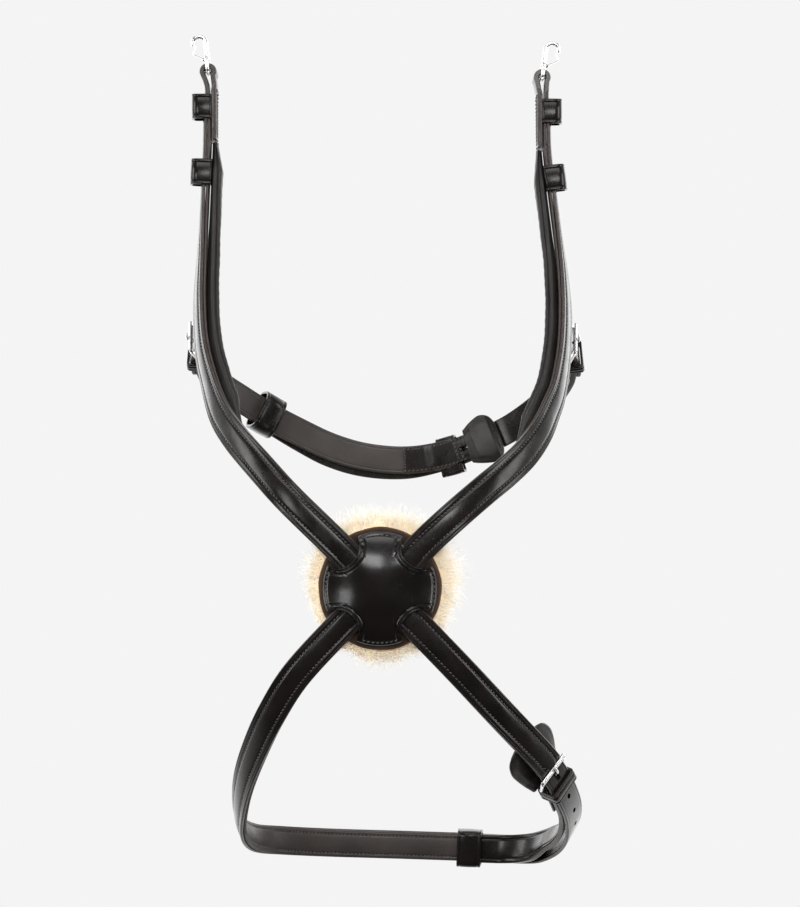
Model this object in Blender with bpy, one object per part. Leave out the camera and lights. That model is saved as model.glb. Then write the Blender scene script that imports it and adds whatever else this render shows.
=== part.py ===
"""Mexican (figure-of-eight) bridle noseband with hook attachments, hanging from its two hooks.

Points are millimetres from the middle of the nose disc: x to the right of somebody who faces the
disc, y from the nose towards the jaw, z up. They are moved to the origin, which is midway between
the crowns of the two hooks, and scaled to metres when a mesh is made. Left and right in the names
are that somebody's. A route is a line along the outer face of a strap, with the direction that face
looks at each point. Offsets called lift are measured from that face, outwards positive.
"""

import math

import bmesh
import bpy
from mathutils import Vector

MM = 0.001
HOOK_LINE = Vector((0.0, 119.0, 356.0))

STRAP_WIDTH = 19.0
STRAP_HALF = STRAP_WIDTH / 2
STRAP_EDGE = 0.9
GAP = 0.4
FACE_DEPTH = 2.4
LINING_TOP = -3.0
LINING_BOTTOM = -5.0
LINING_HALF = 9.0
BILLET_TOP = -2.4
BILLET_BOTTOM = -5.0
CARRIER_TOP = -5.4
CARRIER_BOTTOM = -9.4
CHAPE_THICK = 1.8
STRAP_STEP = 9.0
CHAPE_INNER = CARRIER_BOTTOM - 0.8 - CHAPE_THICK / 2
CARRIER_START = 11.6
CHIN_SLACK = 4.0
TAB_ROOT = -6.0
TAB_THIN_TOP = -4.1
TAB_TOE = 12.5
JAW_HEEL = (62.0, 186.0, 87.6)
JAW_END = (-78.0, 181.0, 107.6)
CHIN_TOE = (108.8, 33.4, -114.6)
CHIN_REAR = (59.7, 158.5, -183.2)

BAR_RADIUS = 1.3
BAR_CLEARANCE = 0.7
PRONG_RADIUS = 0.9
BUCKLE_REACH = 12.5
BUCKLE_INSIDE = 21.0
BUCKLE_CORNER = 2.2
PRONG_GAP = 0.35
PRONG_SLOT_HALF = 1.7
CHAPE_NECK = 1.9
TOE_LIFT = BILLET_TOP + BAR_CLEARANCE + BAR_RADIUS
HEEL_LIFT = BILLET_BOTTOM - GAP - CHAPE_THICK - BAR_CLEARANCE - BAR_RADIUS
CHAPE_BACK = HEEL_LIFT - BAR_RADIUS - BAR_CLEARANCE - CHAPE_THICK - 0.7
RUNNER_AWAY = 16.0
RUNNER_LENGTH = 15.0
RUNNER_SLACK = 2.3
RUNNER_BACK = CARRIER_BOTTOM - 0.3
GUARD_THICK = 5.0
GUARD_ROOT = 2.2
GUARD_ROOT_LIFT = -13.6
GUARD_SHAPE = (
    (0.0, 0.5), (0.04, 0.7), (0.11, 0.86), (0.22, 0.96), (0.36, 1.0), (0.52, 0.97), (0.7, 0.89), (0.86, 0.8),
    (1.0, 0.72),
)

DISC_BACK_DEPTH = 3.0
DISC_RADIUS = 35.0
RIM_RADIUS = 37.6
PAD_RADIUS = 50.0
PAD_DEPTH = 15.0
PASSAGE_REACH = 44.0
DISC_CROWN = 10.2
DISC_EDGE = 2.4
DISC_SHOULDER = 7.6
SCALLOP_CENTRE = 37.5
SCALLOP_RADIUS = 14.0

HOOK_WIRE = 1.25
EYE_RADIUS = 4.0
LOOP_THICK = 3.4
HOOK_BEND = 4.3
HOOK_EYE_TOP = 9.4
HOOK_CROWN = 20.5
HOOK_LIMB = 1.6
GATE_HALF = 2.2
GATE_THICK = 0.9
GATE_LINE = ((2.6, 9.6), (4.6, 11.0), (8.8, 13.6), (8.2, 16.0), (6.8, 18.4))
LOOP_FOLD_LIFT = -5.7 - LOOP_THICK / 2
KEEPER_ROOM = 6.2
KEEPER_WALL = 1.6
KEEPER_LENGTH = 17.0
CHEEK_PAD_TOP = -7.0
CHEEK_PAD_DEPTH = 6.2
CHEEK_PAD_HALF = 12.5

UPPER_LEFT = (
    (-10.2, -5.4, 10.4, 0, -1, 0), (-29.3, -5.4, 29.6, 0, -1, 0), (-56.5, -1, 55.8, -.12, -.99, .04),
    (-75.7, 12, 76, -.3, -.95, .1), (-92.4, 30, 93.6, -.55, -.83, .1), (-104, 48, 109.5, -.76, -.65, .1),
    (-112.2, 67, 130, -.88, -.46, .05), (-118.4, 84, 154, -.92, -.4, 0), (-120.8, 98, 183, -.94, -.33, 0),
    (-120.2, 105, 209, -.97, -.24, 0), (-119, 109.5, 236, -.99, -.14, 0), (-118.2, 112.5, 258, -.995, -.09, 0),
    (-117.2, 116, 289, -.998, -.06, 0), (-117.3, 118.5, 312, -.998, -.06, 0), (-117.3, 119, 326, -1, 0, 0),
)
UPPER_RIGHT = (
    (10.6, -5.4, 9.4, 0, -1, 0), (28.6, -5.4, 28.8, 0, -1, 0), (46.1, -3, 44.9, .06, -.99, .03),
    (65, 5, 60.8, .18, -.97, .08), (78.5, 14, 71.4, .3, -.94, .1), (92, 27, 83.4, .5, -.86, .1),
    (103, 42, 97.4, .7, -.7, .1), (110.2, 56, 111, .83, -.55, .08), (115.8, 68, 124.5, .89, -.45, .05),
    (120.6, 84, 149, .92, -.4, 0), (122.4, 97, 176.1, .93, -.35, 0), (121.2, 105, 202.8, .97, -.25, 0),
    (118, 110, 229.5, .99, -.14, 0), (114.8, 113, 256.2, .995, -.09, 0), (111.8, 116, 283, .998, -.05, 0),
    (111.4, 118.5, 308, .998, -.04, 0), (111.4, 119, 322, 1, 0, 0),
)
LOWER_LEFT = (
    (-10.8, -5.4, -9.6, 0, -1, 0), (-25.6, -5.4, -24.4, 0, -1, 0), (-51.8, 3, -53.4, -.14, -.98, -.05),
    (-68, 17, -79, -.34, -.92, -.1), (-79.2, 33, -101.5, -.56, -.8, -.14), (-88.4, 52, -125, -.78, -.58, -.18),
    (-93, 74, -146, -.92, -.3, -.22), (-93.3, 98, -162, -.93, .1, -.34), (-86, 123, -172, -.74, .6, -.3),
    (-67.5, 142, -176.5, -.36, .92, -.12), (-35, 151.5, -179.4, -.08, 1, -.02), (12.3, 154, -181.2, 0, 1, 0),
    (59.6, 153, -182.6, .06, 1, 0),
)
LOWER_RIGHT = (
    (10.4, -5.4, -9.9, 0, -1, 0), (24.5, -5.4, -24.3, 0, -1, 0), (49.1, -3, -49.7, .08, -.99, .04),
    (74, 6, -76.4, .22, -.97, .06), (93.2, 19, -97, .34, -.93, .06), (103, 27.5, -107.9, .4, -.91, .04),
    (113.4, 39, -121.5, .5, -.86, .02), (121.6, 54, -135.6, .66, -.74, -.06), (127, 74, -150.4, .84, -.45, -.3),
    (127.4, 96, -165.2, .84, -.02, -.54), (121.4, 120, -177.3, .6, .45, -.66), (107.5, 141, -183.4, .32, .86, -.4),
    (86.5, 154, -184.2, .12, .98, -.12), (59.7, 158.5, -183.2, .06, 1, 0), (39.4, 159.6, -182.4, .04, 1, 0),
)
JAW_LEFT = (
    (-121.6, 100, 167, -.94, -.34, .08), (-126, 110.5, 158.8, -.98, -.15, 0), (-128.4, 124, 149.5, -.98, .16, -.06),
    (-125, 141, 138.8, -.86, .48, -.1), (-114.6, 158, 129.6, -.66, .74, -.08), (-99.4, 170.5, 120, -.5, .86, -.05),
    (-80.2, 180, 108.8, -.36, .93, 0), (-58, 186.5, 97.4, -.24, .97, 0), (-35.9, 190, 87.4, -.12, .99, 0),
    (-11.8, 192, 80.6, -.03, 1, 0), (15.7, 192, 78.2, .06, 1, 0), (40, 190, 81, .14, .99, 0),
    (62, 186, 87.6, .2, .98, 0), (76, 182.5, 93.4, .26, .96, 0),
)
JAW_RIGHT = (
    (123.9, 102.3, 166, .94, -.32, .1), (128.6, 112.8, 157.8, .98, -.15, 0), (133.8, 126, 148, .98, .16, -.06),
    (132.4, 140, 138, .88, .46, -.1), (123.4, 155, 126.8, .7, .7, -.08), (109, 168.5, 113.6, .52, .84, -.05),
    (92, 176.8, 101.8, .36, .93, 0), (76, 182.5, 93.4, .26, .96, 0), (62, 186, 87.6, .2, .98, 0),
    (40, 190.8, 79.6, .12, .99, 0), (15.7, 193.4, 74.6, .05, 1, 0), (-11.8, 193.6, 76, -.03, 1, 0),
    (-35.9, 191.6, 82.8, -.12, .99, 0), (-58, 188.2, 94.2, -.24, .97, 0), (-80.2, 182, 107.6, -.36, .93, 0),
)


def clear_scene():
    for thing in list(bpy.data.objects):
        bpy.data.objects.remove(thing, do_unlink=True)


def material(name, colour, roughness, metallic=0.0):
    made = bpy.data.materials.new(name)
    made.use_nodes = True
    shader = made.node_tree.nodes["Principled BSDF"]
    shader.inputs["Base Color"].default_value = (*colour, 1.0)
    shader.inputs["Roughness"].default_value = roughness
    shader.inputs["Metallic"].default_value = metallic
    return made


def leather(name):
    return material(name, (0.016, 0.013, 0.012), 0.38)


def lining_leather(name):
    return material(name, (0.045, 0.041, 0.040), 0.62)


def steel(name):
    return material(name, (0.80, 0.80, 0.82), 0.16, 1.0)


def wool(name):
    return material(name, (0.90, 0.82, 0.66), 0.95)


def world(point):
    return (Vector(point) - HOOK_LINE) * MM


def add_object(name, mesh_builder, finish):
    """One named object in the scene from a finished bmesh in millimetres."""
    for vertex in mesh_builder.verts:
        vertex.co = world(vertex.co)
    bmesh.ops.recalc_face_normals(mesh_builder, faces=mesh_builder.faces)
    mesh = bpy.data.meshes.new(name)
    mesh_builder.to_mesh(mesh)
    mesh_builder.free()
    mesh.shade_smooth()
    mesh.set_sharp_from_angle(angle=math.radians(40))
    mesh.materials.append(finish(name))
    made = bpy.data.objects.new(name, mesh)
    bpy.context.scene.collection.objects.link(made)
    return made


def spline(points, at):
    """Value of a smooth curve through the points at a place counted in points."""
    index = min(int(at), len(points) - 2)
    part = at - index
    before = points[max(index - 1, 0)]
    start = points[index]
    end = points[index + 1]
    after = points[min(index + 2, len(points) - 1)]
    square = part * part
    cube = square * part
    return 0.5 * (
        2.0 * start
        + (end - before) * part
        + (2.0 * before - 5.0 * start + 4.0 * end - after) * square
        + (3.0 * start - before - 3.0 * end + after) * cube
    )


class Route:
    """A strap's line: points with outward directions, read by length along the line."""

    FINE = 24

    def __init__(self, stops):
        places = [Vector(stop[:3]) for stop in stops]
        facings = [Vector(stop[3:]) for stop in stops]
        count = (len(stops) - 1) * self.FINE
        self.places = [spline(places, index / self.FINE) for index in range(count + 1)]
        self.facings = [spline(facings, index / self.FINE) for index in range(count + 1)]
        self.along = [0.0]
        for first, second in zip(self.places, self.places[1:]):
            self.along.append(self.along[-1] + (second - first).length)
        self.length = self.along[-1]

    def _index(self, distance):
        low = 0
        high = len(self.along) - 2
        while low < high:
            middle = (low + high + 1) // 2
            if self.along[middle] <= distance:
                low = middle
            else:
                high = middle - 1
        return low

    def _read(self, values, distance):
        index = self._index(distance)
        span = self.along[index + 1] - self.along[index]
        part = (distance - self.along[index]) / span
        return values[index].lerp(values[index + 1], part)

    def place(self, distance):
        if distance < 0.0:
            return self.places[0] + self.heading(0.0) * distance
        if distance > self.length:
            return self.places[-1] + self.heading(self.length) * (distance - self.length)
        return self._read(self.places, distance)

    def heading(self, distance):
        middle = min(max(distance, 1.5), self.length - 1.5)
        ahead = self._read(self.places, middle + 1.5)
        behind = self._read(self.places, middle - 1.5)
        return (ahead - behind).normalized()

    def frame(self, distance):
        """Place, heading, outward and sideways directions."""
        clamped = min(max(distance, 0.0), self.length)
        heading = self.heading(distance)
        facing = self._read(self.facings, clamped)
        outward = (facing - heading * facing.dot(heading)).normalized()
        return self.place(distance), heading, outward, heading.cross(outward)

    def point(self, distance, side=0.0, lift=0.0):
        place, _, outward, sideways = self.frame(distance)
        return place + sideways * side + outward * lift

    def nearest(self, target):
        """Length along the line of the place nearest to a point."""
        wanted = Vector(target)
        best = min(range(len(self.places)), key=lambda index: (self.places[index] - wanted).length)
        return self.along[best]


def spread(start, end, step):
    count = max(1, round(abs(end - start) / step))
    return [start + (end - start) * index / count for index in range(count + 1)]


def loft(rings):
    """Closed body through rings of equal count, capped at both ends."""
    builder = bmesh.new()
    made = [[builder.verts.new(point) for point in ring] for ring in rings]
    count = len(rings[0])
    for lower, upper in zip(made, made[1:]):
        for index in range(count):
            after = (index + 1) % count
            builder.faces.new((lower[index], lower[after], upper[after], upper[index]))
    builder.faces.new(made[0])
    builder.faces.new(made[-1])
    return builder


def strap_ring(route, distance, half_width, bottom, top, edge=STRAP_EDGE):
    inner = half_width - edge
    corners = (
        (-inner, top), (inner, top), (half_width, top - edge), (half_width, bottom + edge),
        (inner, bottom), (-inner, bottom), (-half_width, bottom + edge), (-half_width, top - edge),
    )
    return [route.point(distance, side, lift) for side, lift in corners]


def strap(route, start, end, bottom, top):
    """A leather strap along a route, with worn edges."""
    edge = min(STRAP_EDGE, (top - bottom) * 0.3)
    return loft([
        strap_ring(route, distance, STRAP_HALF, bottom, top, edge)
        for distance in spread(start, end, STRAP_STEP)
    ])


def channel(route, start, end, half_width, bottom, top):
    """A square-edged layer or passage that follows a route."""
    rings = []
    for distance in spread(start, end, STRAP_STEP):
        corners = ((-half_width, top), (half_width, top), (half_width, bottom), (-half_width, bottom))
        rings.append([route.point(distance, side, lift) for side, lift in corners])
    return loft(rings)


def rounded_loop(half_width, bottom, top, corner, turns=3):
    """Points round a rectangle with round corners, as side and lift."""
    points = []
    centres = (
        (half_width - corner, top - corner, 0), (-half_width + corner, top - corner, 90),
        (-half_width + corner, bottom + corner, 180), (half_width - corner, bottom + corner, 270),
    )
    for side, lift, first in centres:
        for turn in range(turns + 1):
            angle = math.radians(first + 90.0 * turn / turns)
            points.append((side + corner * math.cos(angle), lift + corner * math.sin(angle)))
    return points


def band(route, middle, length, half_width, bottom, top, wall, back_wall=None, shift=0.0):
    """A loop of leather round a strap: the inside is half_width, bottom and top; shift moves it sideways."""
    back = wall if back_wall is None else back_wall
    inside = rounded_loop(half_width, bottom, top, 0.8)
    outside = rounded_loop(half_width + wall, bottom - back, top + wall, 1.8)
    builder = bmesh.new()
    rings = []
    for distance in spread(middle - length / 2, middle + length / 2, length / 2):
        for outline in (inside, outside):
            ring = [builder.verts.new(route.point(distance, side + shift, lift)) for side, lift in outline]
            rings.append(ring)
    inner = rings[0::2]
    outer = rings[1::2]
    strips = list(zip(inner, inner[1:])) + list(zip(outer, outer[1:]))
    strips += [(inner[0], outer[0]), (inner[-1], outer[-1])]
    for first, second in strips:
        for index in range(len(first)):
            after = (index + 1) % len(first)
            builder.faces.new((first[index], first[after], second[after], second[index]))
    return builder


def tube_ring(centre, heading, radius, sides, start_up):
    across = heading.cross(start_up).normalized()
    upward = across.cross(heading).normalized()
    ring = []
    for index in range(sides):
        angle = math.tau * index / sides
        ring.append(centre + across * radius * math.cos(angle) + upward * radius * math.sin(angle))
    return ring


def tube(points, radii, up, closed=False, sides=8):
    """A round wire through points that lie near a plane square to up."""
    count = len(points)
    rings = []
    for index, point in enumerate(points):
        if closed:
            before = points[index - 1]
            after = points[(index + 1) % count]
        else:
            before = points[max(index - 1, 0)]
            after = points[min(index + 1, count - 1)]
        heading = (after - before).normalized()
        rings.append(tube_ring(point, heading, radii[index], sides, up))
    if not closed:
        return loft(rings)
    builder = bmesh.new()
    made = [[builder.verts.new(point) for point in ring] for ring in rings]
    for index in range(count):
        lower = made[index]
        upper = made[(index + 1) % count]
        for side in range(sides):
            after = (side + 1) % sides
            builder.faces.new((lower[side], lower[after], upper[after], upper[side]))
    return builder


def box_between(route, start, end, half_width, bottom, top):
    rings = []
    for distance in (start, end):
        corners = ((-half_width, top), (half_width, top), (half_width, bottom), (-half_width, bottom))
        rings.append([route.point(distance, side, lift) for side, lift in corners])
    return loft(rings)


def cut(target, cutter_builder):
    """Take a cutter's shape out of an object, and keep the result as its mesh."""
    cutter = add_object(target.name + "_cutter", cutter_builder, leather)
    cutter.hide_render = True
    cutter.display_type = "WIRE"
    boolean = target.modifiers.new("cut", "BOOLEAN")
    boolean.operation = "DIFFERENCE"
    boolean.object = cutter


def join(target, other_builder):
    helper = add_object(target.name + "_helper", other_builder, steel)
    helper.hide_render = True
    helper.display_type = "WIRE"
    boolean = target.modifiers.new("join", "BOOLEAN")
    boolean.operation = "UNION"
    boolean.object = helper


class BuckleFrame:
    """Directions of a buckle: reach from heel bar to toe bar, side, and lift off the strap."""

    def __init__(self, route, heel, toe):
        self.heel = route.point(heel, 0.0, HEEL_LIFT)
        self.toe = route.point(toe, 0.0, TOE_LIFT)
        _, _, outward, _ = route.frame(heel + (toe - heel) / 3.5)
        reach = self.toe - self.heel
        self.side = reach.cross(outward).normalized()
        self.reach = (reach - outward * reach.dot(outward)).normalized()
        self.lift = self.side.cross(self.reach).normalized()
        if self.lift.dot(outward) < 0.0:
            self.lift = -self.lift

    def point(self, reach, side, lift):
        return self.heel + self.reach * reach + self.side * side + self.lift * lift


def buckle_outline(buckle):
    """Centre line of the frame: a rectangle with round corners from heel bar to toe bar."""
    length = (buckle.toe - buckle.heel).dot(buckle.reach)
    rise = (buckle.toe - buckle.heel).dot(buckle.lift)
    half = BUCKLE_INSIDE / 2 + BAR_RADIUS
    corner = BUCKLE_CORNER
    points = []
    centres = (
        (length - corner, half - corner, 0), (corner, half - corner, 90),
        (corner, -half + corner, 180), (length - corner, -half + corner, 270),
    )
    for reach, side, first in centres:
        for turn in (0, 30, 60, 90):
            angle = math.radians(first + turn)
            along = reach + corner * math.cos(angle)
            points.append(buckle.point(along, side + corner * math.sin(angle), rise * along / length))
    return points


def add_buckle(prefix, route, heel, toe):
    """Frame and prong; the prong's hinge is the heel bar."""
    buckle = BuckleFrame(route, heel, toe)
    outline = buckle_outline(buckle)
    radii = [BAR_RADIUS] * len(outline)
    add_object(prefix + "_buckle_frame", tube(outline, radii, buckle.lift, closed=True), steel)

    ring = BAR_RADIUS + PRONG_GAP + PRONG_RADIUS
    length = (buckle.toe - buckle.heel).dot(buckle.reach)
    rise = (buckle.toe - buckle.heel).dot(buckle.lift)
    line = []
    for turn in (-40, -80, -120, -160, -200, -240, -270):
        angle = math.radians(turn)
        line.append((ring * math.cos(angle), ring * math.sin(angle)))
    resting = rise + ring
    line += [(1.8, 2.9), (3.6, 4.4), (5.4, 6.3), (8.0, 7.9)]
    line += [(length - 3.0, resting - 0.9), (length, resting), (length + 2.6, resting + 0.1)]
    points = [buckle.point(reach, 0.0, lift) for reach, lift in line]
    radii = [PRONG_RADIUS] * (len(points) - 1) + [0.5]
    add_object(prefix + "_buckle_prong", tube(points, radii, buckle.side, sides=6), steel)


def add_chape(prefix, route, heel, away, inner_end, proud_end=4.0):
    """Leather turned round the heel bar: a short outer leg and a long inner leg.

    The inner leg stands proud of the strap up to proud_end, which leaves room for a runner keeper.
    """
    middle = BAR_RADIUS + BAR_CLEARANCE + CHAPE_THICK / 2
    top_lift = HEEL_LIFT + middle
    line = [(11.0, top_lift), (6.0, top_lift), (2.0, top_lift)]
    for turn in (60, 90, 120, 150, 180, 210, 240, 270):
        angle = math.radians(turn)
        line.append((middle * math.cos(angle), HEEL_LIFT + middle * math.sin(angle)))
    line.append((4.0, HEEL_LIFT - middle))
    if proud_end > 4.0:
        line.append((proud_end, HEEL_LIFT - middle))
    line += [(distance, CHAPE_INNER) for distance in spread(proud_end + 6.0, inner_end, STRAP_STEP)]
    rings = []
    for index, (reach, lift) in enumerate(line):
        before = line[max(index - 1, 0)]
        after = line[min(index + 1, len(line) - 1)]
        run = Vector((after[0] - before[0], after[1] - before[1])).normalized()
        rise = Vector((-run.y, run.x)) * CHAPE_THICK / 2
        inset = STRAP_HALF - (CHAPE_NECK if reach < CARRIER_START else 0.0)
        ring = []
        for side, sign in ((-inset, 1), (inset, 1), (inset, -1), (-inset, -1)):
            distance = heel + away * (reach + rise.x * sign)
            ring.append(route.point(distance, side, lift + rise.y * sign))
        rings.append(ring)
    made = add_object(prefix + "_chape", loft(rings), leather)
    ends = (heel - away * 6.0, heel + away * 7.0)
    cut(made, box_between(route, min(ends), max(ends), PRONG_SLOT_HALF, HEEL_LIFT - 8.0, BILLET_BOTTOM + 0.2))


def cut_prong_slot(billet, route, heel, towards):
    """The punched hole that the prong comes up through."""
    ends = (heel + towards * 0.6, heel + towards * 9.6)
    slot = box_between(route, min(ends), max(ends), PRONG_SLOT_HALF, BILLET_BOTTOM - 1.5, BILLET_TOP + 1.5)
    cut(billet, slot)


def add_guard(name, route, tip, root, tip_lift, half_width):
    """A padded leather tongue between the buckle and the skin: fan-shaped, widest near its tip."""
    rings = []
    for part, share in GUARD_SHAPE:
        distance = tip + (root - tip) * part
        lift = tip_lift + (GUARD_ROOT_LIFT - tip_lift) * min(1.0, part * 1.35)
        thick = GUARD_THICK * min(1.0, 0.55 + part * 3.0)
        rings.append(strap_ring(route, distance, half_width * share, lift - thick, lift, edge=thick * 0.24))
    add_object(name, loft(rings), leather)


def height_over_disc(radius, angle):
    """Height of the front leather above the back leather, over the straps and between them."""
    diagonal = abs(math.sin(2.0 * angle)) ** 1.4
    edge = DISC_EDGE + (DISC_SHOULDER - DISC_EDGE) * diagonal
    part = min(1.0, radius / DISC_RADIUS)
    return edge + (DISC_CROWN - edge) * (1.0 - part ** 3.2)


def disc_body(radius, bottom, top, rings=5, sides=48):
    """A round body about the y axis; top gives its height towards the front."""
    builder = bmesh.new()
    levels = []
    for ring in range(1, rings + 1):
        reach = radius * ring / rings
        level = []
        for side in range(sides):
            angle = math.tau * side / sides
            height = top(reach, angle)
            level.append(builder.verts.new((reach * math.cos(angle), -height, reach * math.sin(angle))))
        levels.append(level)
    back = []
    for side in range(sides):
        angle = math.tau * side / sides
        back.append(builder.verts.new((radius * math.cos(angle), -bottom, radius * math.sin(angle))))
    levels.append(back)
    crown = builder.verts.new((0.0, -top(0.0, 0.0), 0.0))
    for side in range(sides):
        after = (side + 1) % sides
        builder.faces.new((crown, levels[0][side], levels[0][after]))
        for inner, outer in zip(levels, levels[1:]):
            builder.faces.new((inner[side], outer[side], outer[after], inner[after]))
    builder.faces.new(back)
    return builder


def mouth_cutter(direction):
    """A round scallop where one strap leaves from under the front leather."""
    centre = Vector(direction).normalized() * SCALLOP_CENTRE
    rings = []
    for height in (-3.0, 16.0):
        ring = []
        for side in range(20):
            angle = math.tau * side / 20
            across = SCALLOP_RADIUS * math.cos(angle)
            upward = SCALLOP_RADIUS * math.sin(angle)
            ring.append(Vector((centre.x + across, -height, centre.z + upward)))
        rings.append(ring)
    return loft(rings)


def add_disc(routes):
    front = add_object(
        "nose_disc_front", disc_body(DISC_RADIUS, GAP, height_over_disc), leather
    )
    back = disc_body(RIM_RADIUS, -DISC_BACK_DEPTH, lambda reach, angle: 0.0, rings=1)
    add_object("nose_disc_back", back, lining_leather)
    pad_front = -DISC_BACK_DEPTH - GAP
    pad = disc_body(
        PAD_RADIUS, -PAD_DEPTH, lambda reach, angle: pad_front - 2.5 * (reach / PAD_RADIUS) ** 2, rings=3,
    )
    add_object("sheepskin_pad", pad, wool)
    for route in routes:
        place, heading, _, _ = route.frame(0.0)
        reach = 4.0 - place.length
        cut(front, channel(route, reach, PASSAGE_REACH, STRAP_HALF + 0.6, -6.4, 0.6))
        cut(front, mouth_cutter(heading))


def add_cheek_keepers(side, route, heights):
    for name, height in heights:
        middle = route.nearest(height)
        bottom = -4.4 if name == "upper" else LINING_BOTTOM - GAP
        keeper = band(
            route, middle, KEEPER_LENGTH, STRAP_HALF + GAP, bottom, KEEPER_ROOM, KEEPER_WALL, back_wall=0.9,
        )
        add_object("cheek_keeper_" + name + "_" + side, keeper, leather)


def hook_loop_line(route, start, eye, inset):
    """Middle line of the folded hook loop, as length along the route and lift."""
    line = [(start, -2.2), (eye - 13.0, -2.2), (eye - 8.0, min(-2.2, -inset + 2.9))]
    for turn in range(-35, 216, 25):
        angle = math.radians(turn)
        line.append((eye + EYE_RADIUS * math.sin(angle), -inset + EYE_RADIUS * math.cos(angle)))
    return line


def add_hook_loop(side, route, start, eye, inset, fold_end):
    """The leather loop that holds the hook: up the outside, over the bar, down the inside."""
    line = hook_loop_line(route, start, eye, inset)
    line += [(eye - 9.5, LOOP_FOLD_LIFT - 0.1), (eye - 14.0, LOOP_FOLD_LIFT)]
    line += [(distance, LOOP_FOLD_LIFT) for distance in spread(eye - 20.0, fold_end, STRAP_STEP)]
    rings = []
    for index, (reach, lift) in enumerate(line):
        before = line[max(index - 1, 0)]
        after = line[min(index + 1, len(line) - 1)]
        run = Vector((after[0] - before[0], after[1] - before[1])).normalized()
        rise = Vector((-run.y, run.x)) * LOOP_THICK / 2
        half = STRAP_HALF - (1.5 if index == len(line) - 1 else 0.0)
        ring = []
        for across, sign in ((-half, 1), (half, 1), (half, -1), (-half, -1)):
            ring.append(route.point(reach + rise.x * sign, across, lift + rise.y * sign))
        rings.append(ring)
    add_object("hook_loop_" + side, loft(rings), leather)


def add_hook(side, outward_sign, bar, tilt):
    """Steel snap hook: a square eye round the leather, a hooked wire above it and a sprung gate."""
    lean = math.radians(tilt)
    upward = Vector((outward_sign * math.sin(lean), 0.0, math.cos(lean)))
    outward = Vector((outward_sign * math.cos(lean), 0.0, -math.sin(lean)))
    depth = Vector((0.0, 1.0, 0.0))

    def at(out, back, up):
        return bar + outward * out + depth * back + upward * up

    half = STRAP_HALF + 0.5 + HOOK_WIRE
    corner = 2.2
    outline = []
    top = HOOK_EYE_TOP - corner
    centres = ((half - corner, top, 0), (-half + corner, top, 90),
               (-half + corner, corner, 180), (half - corner, corner, 270))
    for back, up, first in centres:
        for turn in (0, 45, 90):
            angle = math.radians(first + turn)
            outline.append(at(0.0, back + corner * math.cos(angle), up + corner * math.sin(angle)))
    eye = tube(outline, [HOOK_WIRE] * len(outline), outward, closed=True)
    body = add_object("hook_body_" + side, eye, steel)
    line = [(0.0, HOOK_EYE_TOP), (0.0, 14.0), (0.0, HOOK_CROWN - 1.0)]
    for turn in (150, 120, 90, 60, 30, 0):
        angle = math.radians(turn)
        line.append((HOOK_BEND + HOOK_BEND * math.cos(angle), HOOK_CROWN + HOOK_BEND * math.sin(angle)))
    line.append((2.0 * HOOK_BEND, 18.8))
    wire = [at(out, 0.0, up) for out, up in line]
    radii = [HOOK_LIMB] * (len(wire) - 2) + [1.3, 1.0]
    join(body, tube(wire, radii, depth))
    leaf = []
    for index, (out, up) in enumerate(GATE_LINE):
        before = GATE_LINE[max(index - 1, 0)]
        after = GATE_LINE[min(index + 1, len(GATE_LINE) - 1)]
        run = Vector((after[0] - before[0], after[1] - before[1])).normalized()
        rise = Vector((-run.y, run.x)) * GATE_THICK / 2
        ring = []
        for back, sign in ((-GATE_HALF, 1), (GATE_HALF, 1), (GATE_HALF, -1), (-GATE_HALF, -1)):
            ring.append(at(out + rise.x * sign, back, up + rise.y * sign))
        leaf.append(ring)
    add_object("hook_gate_" + side, loft(leaf), steel)


def add_cheek_pad(side, route, top, tip):
    """The anatomical pad inside the cheek strap: two soft rolls, narrow at both ends."""
    rings = []
    for part in (0.0, 0.03, 0.1, 0.25, 0.45, 0.65, 0.85, 0.95, 1.0):
        distance = top + (tip - top) * part
        ends = min(1.0, 0.45 + part * 5.0, 0.42 + (1.0 - part) * 4.0)
        half = CHEEK_PAD_HALF * ends
        bottom = CHEEK_PAD_TOP - CHEEK_PAD_DEPTH * ends
        rings.append(strap_ring(route, distance, half, bottom, CHEEK_PAD_TOP, edge=1.9 * ends))
    add_object("cheek_pad_" + side, loft(rings), lining_leather)


def add_side(side, outward_sign, route, bar, tilt, inset, keepers, top, pad_ends, fold_end):
    """Everything on one cheek from the nose disc up to the hook."""
    end = route.nearest(top)
    face = strap(route, 0.0, end, -FACE_DEPTH, 0.0)
    add_object("upper_strap_" + side, face, leather)
    lining = channel(route, 0.0, end, LINING_HALF, LINING_BOTTOM, LINING_TOP)
    add_object("upper_lining_" + side, lining, lining_leather)
    add_cheek_keepers(side, route, keepers)
    eye = end + bar.z - route.place(end).z
    add_hook_loop(side, route, end + GAP, eye, inset, route.nearest(fold_end))
    add_hook(side, outward_sign, bar, tilt)
    add_cheek_pad(side, route, route.nearest(pad_ends[0]), route.nearest(pad_ends[1]))


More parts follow.
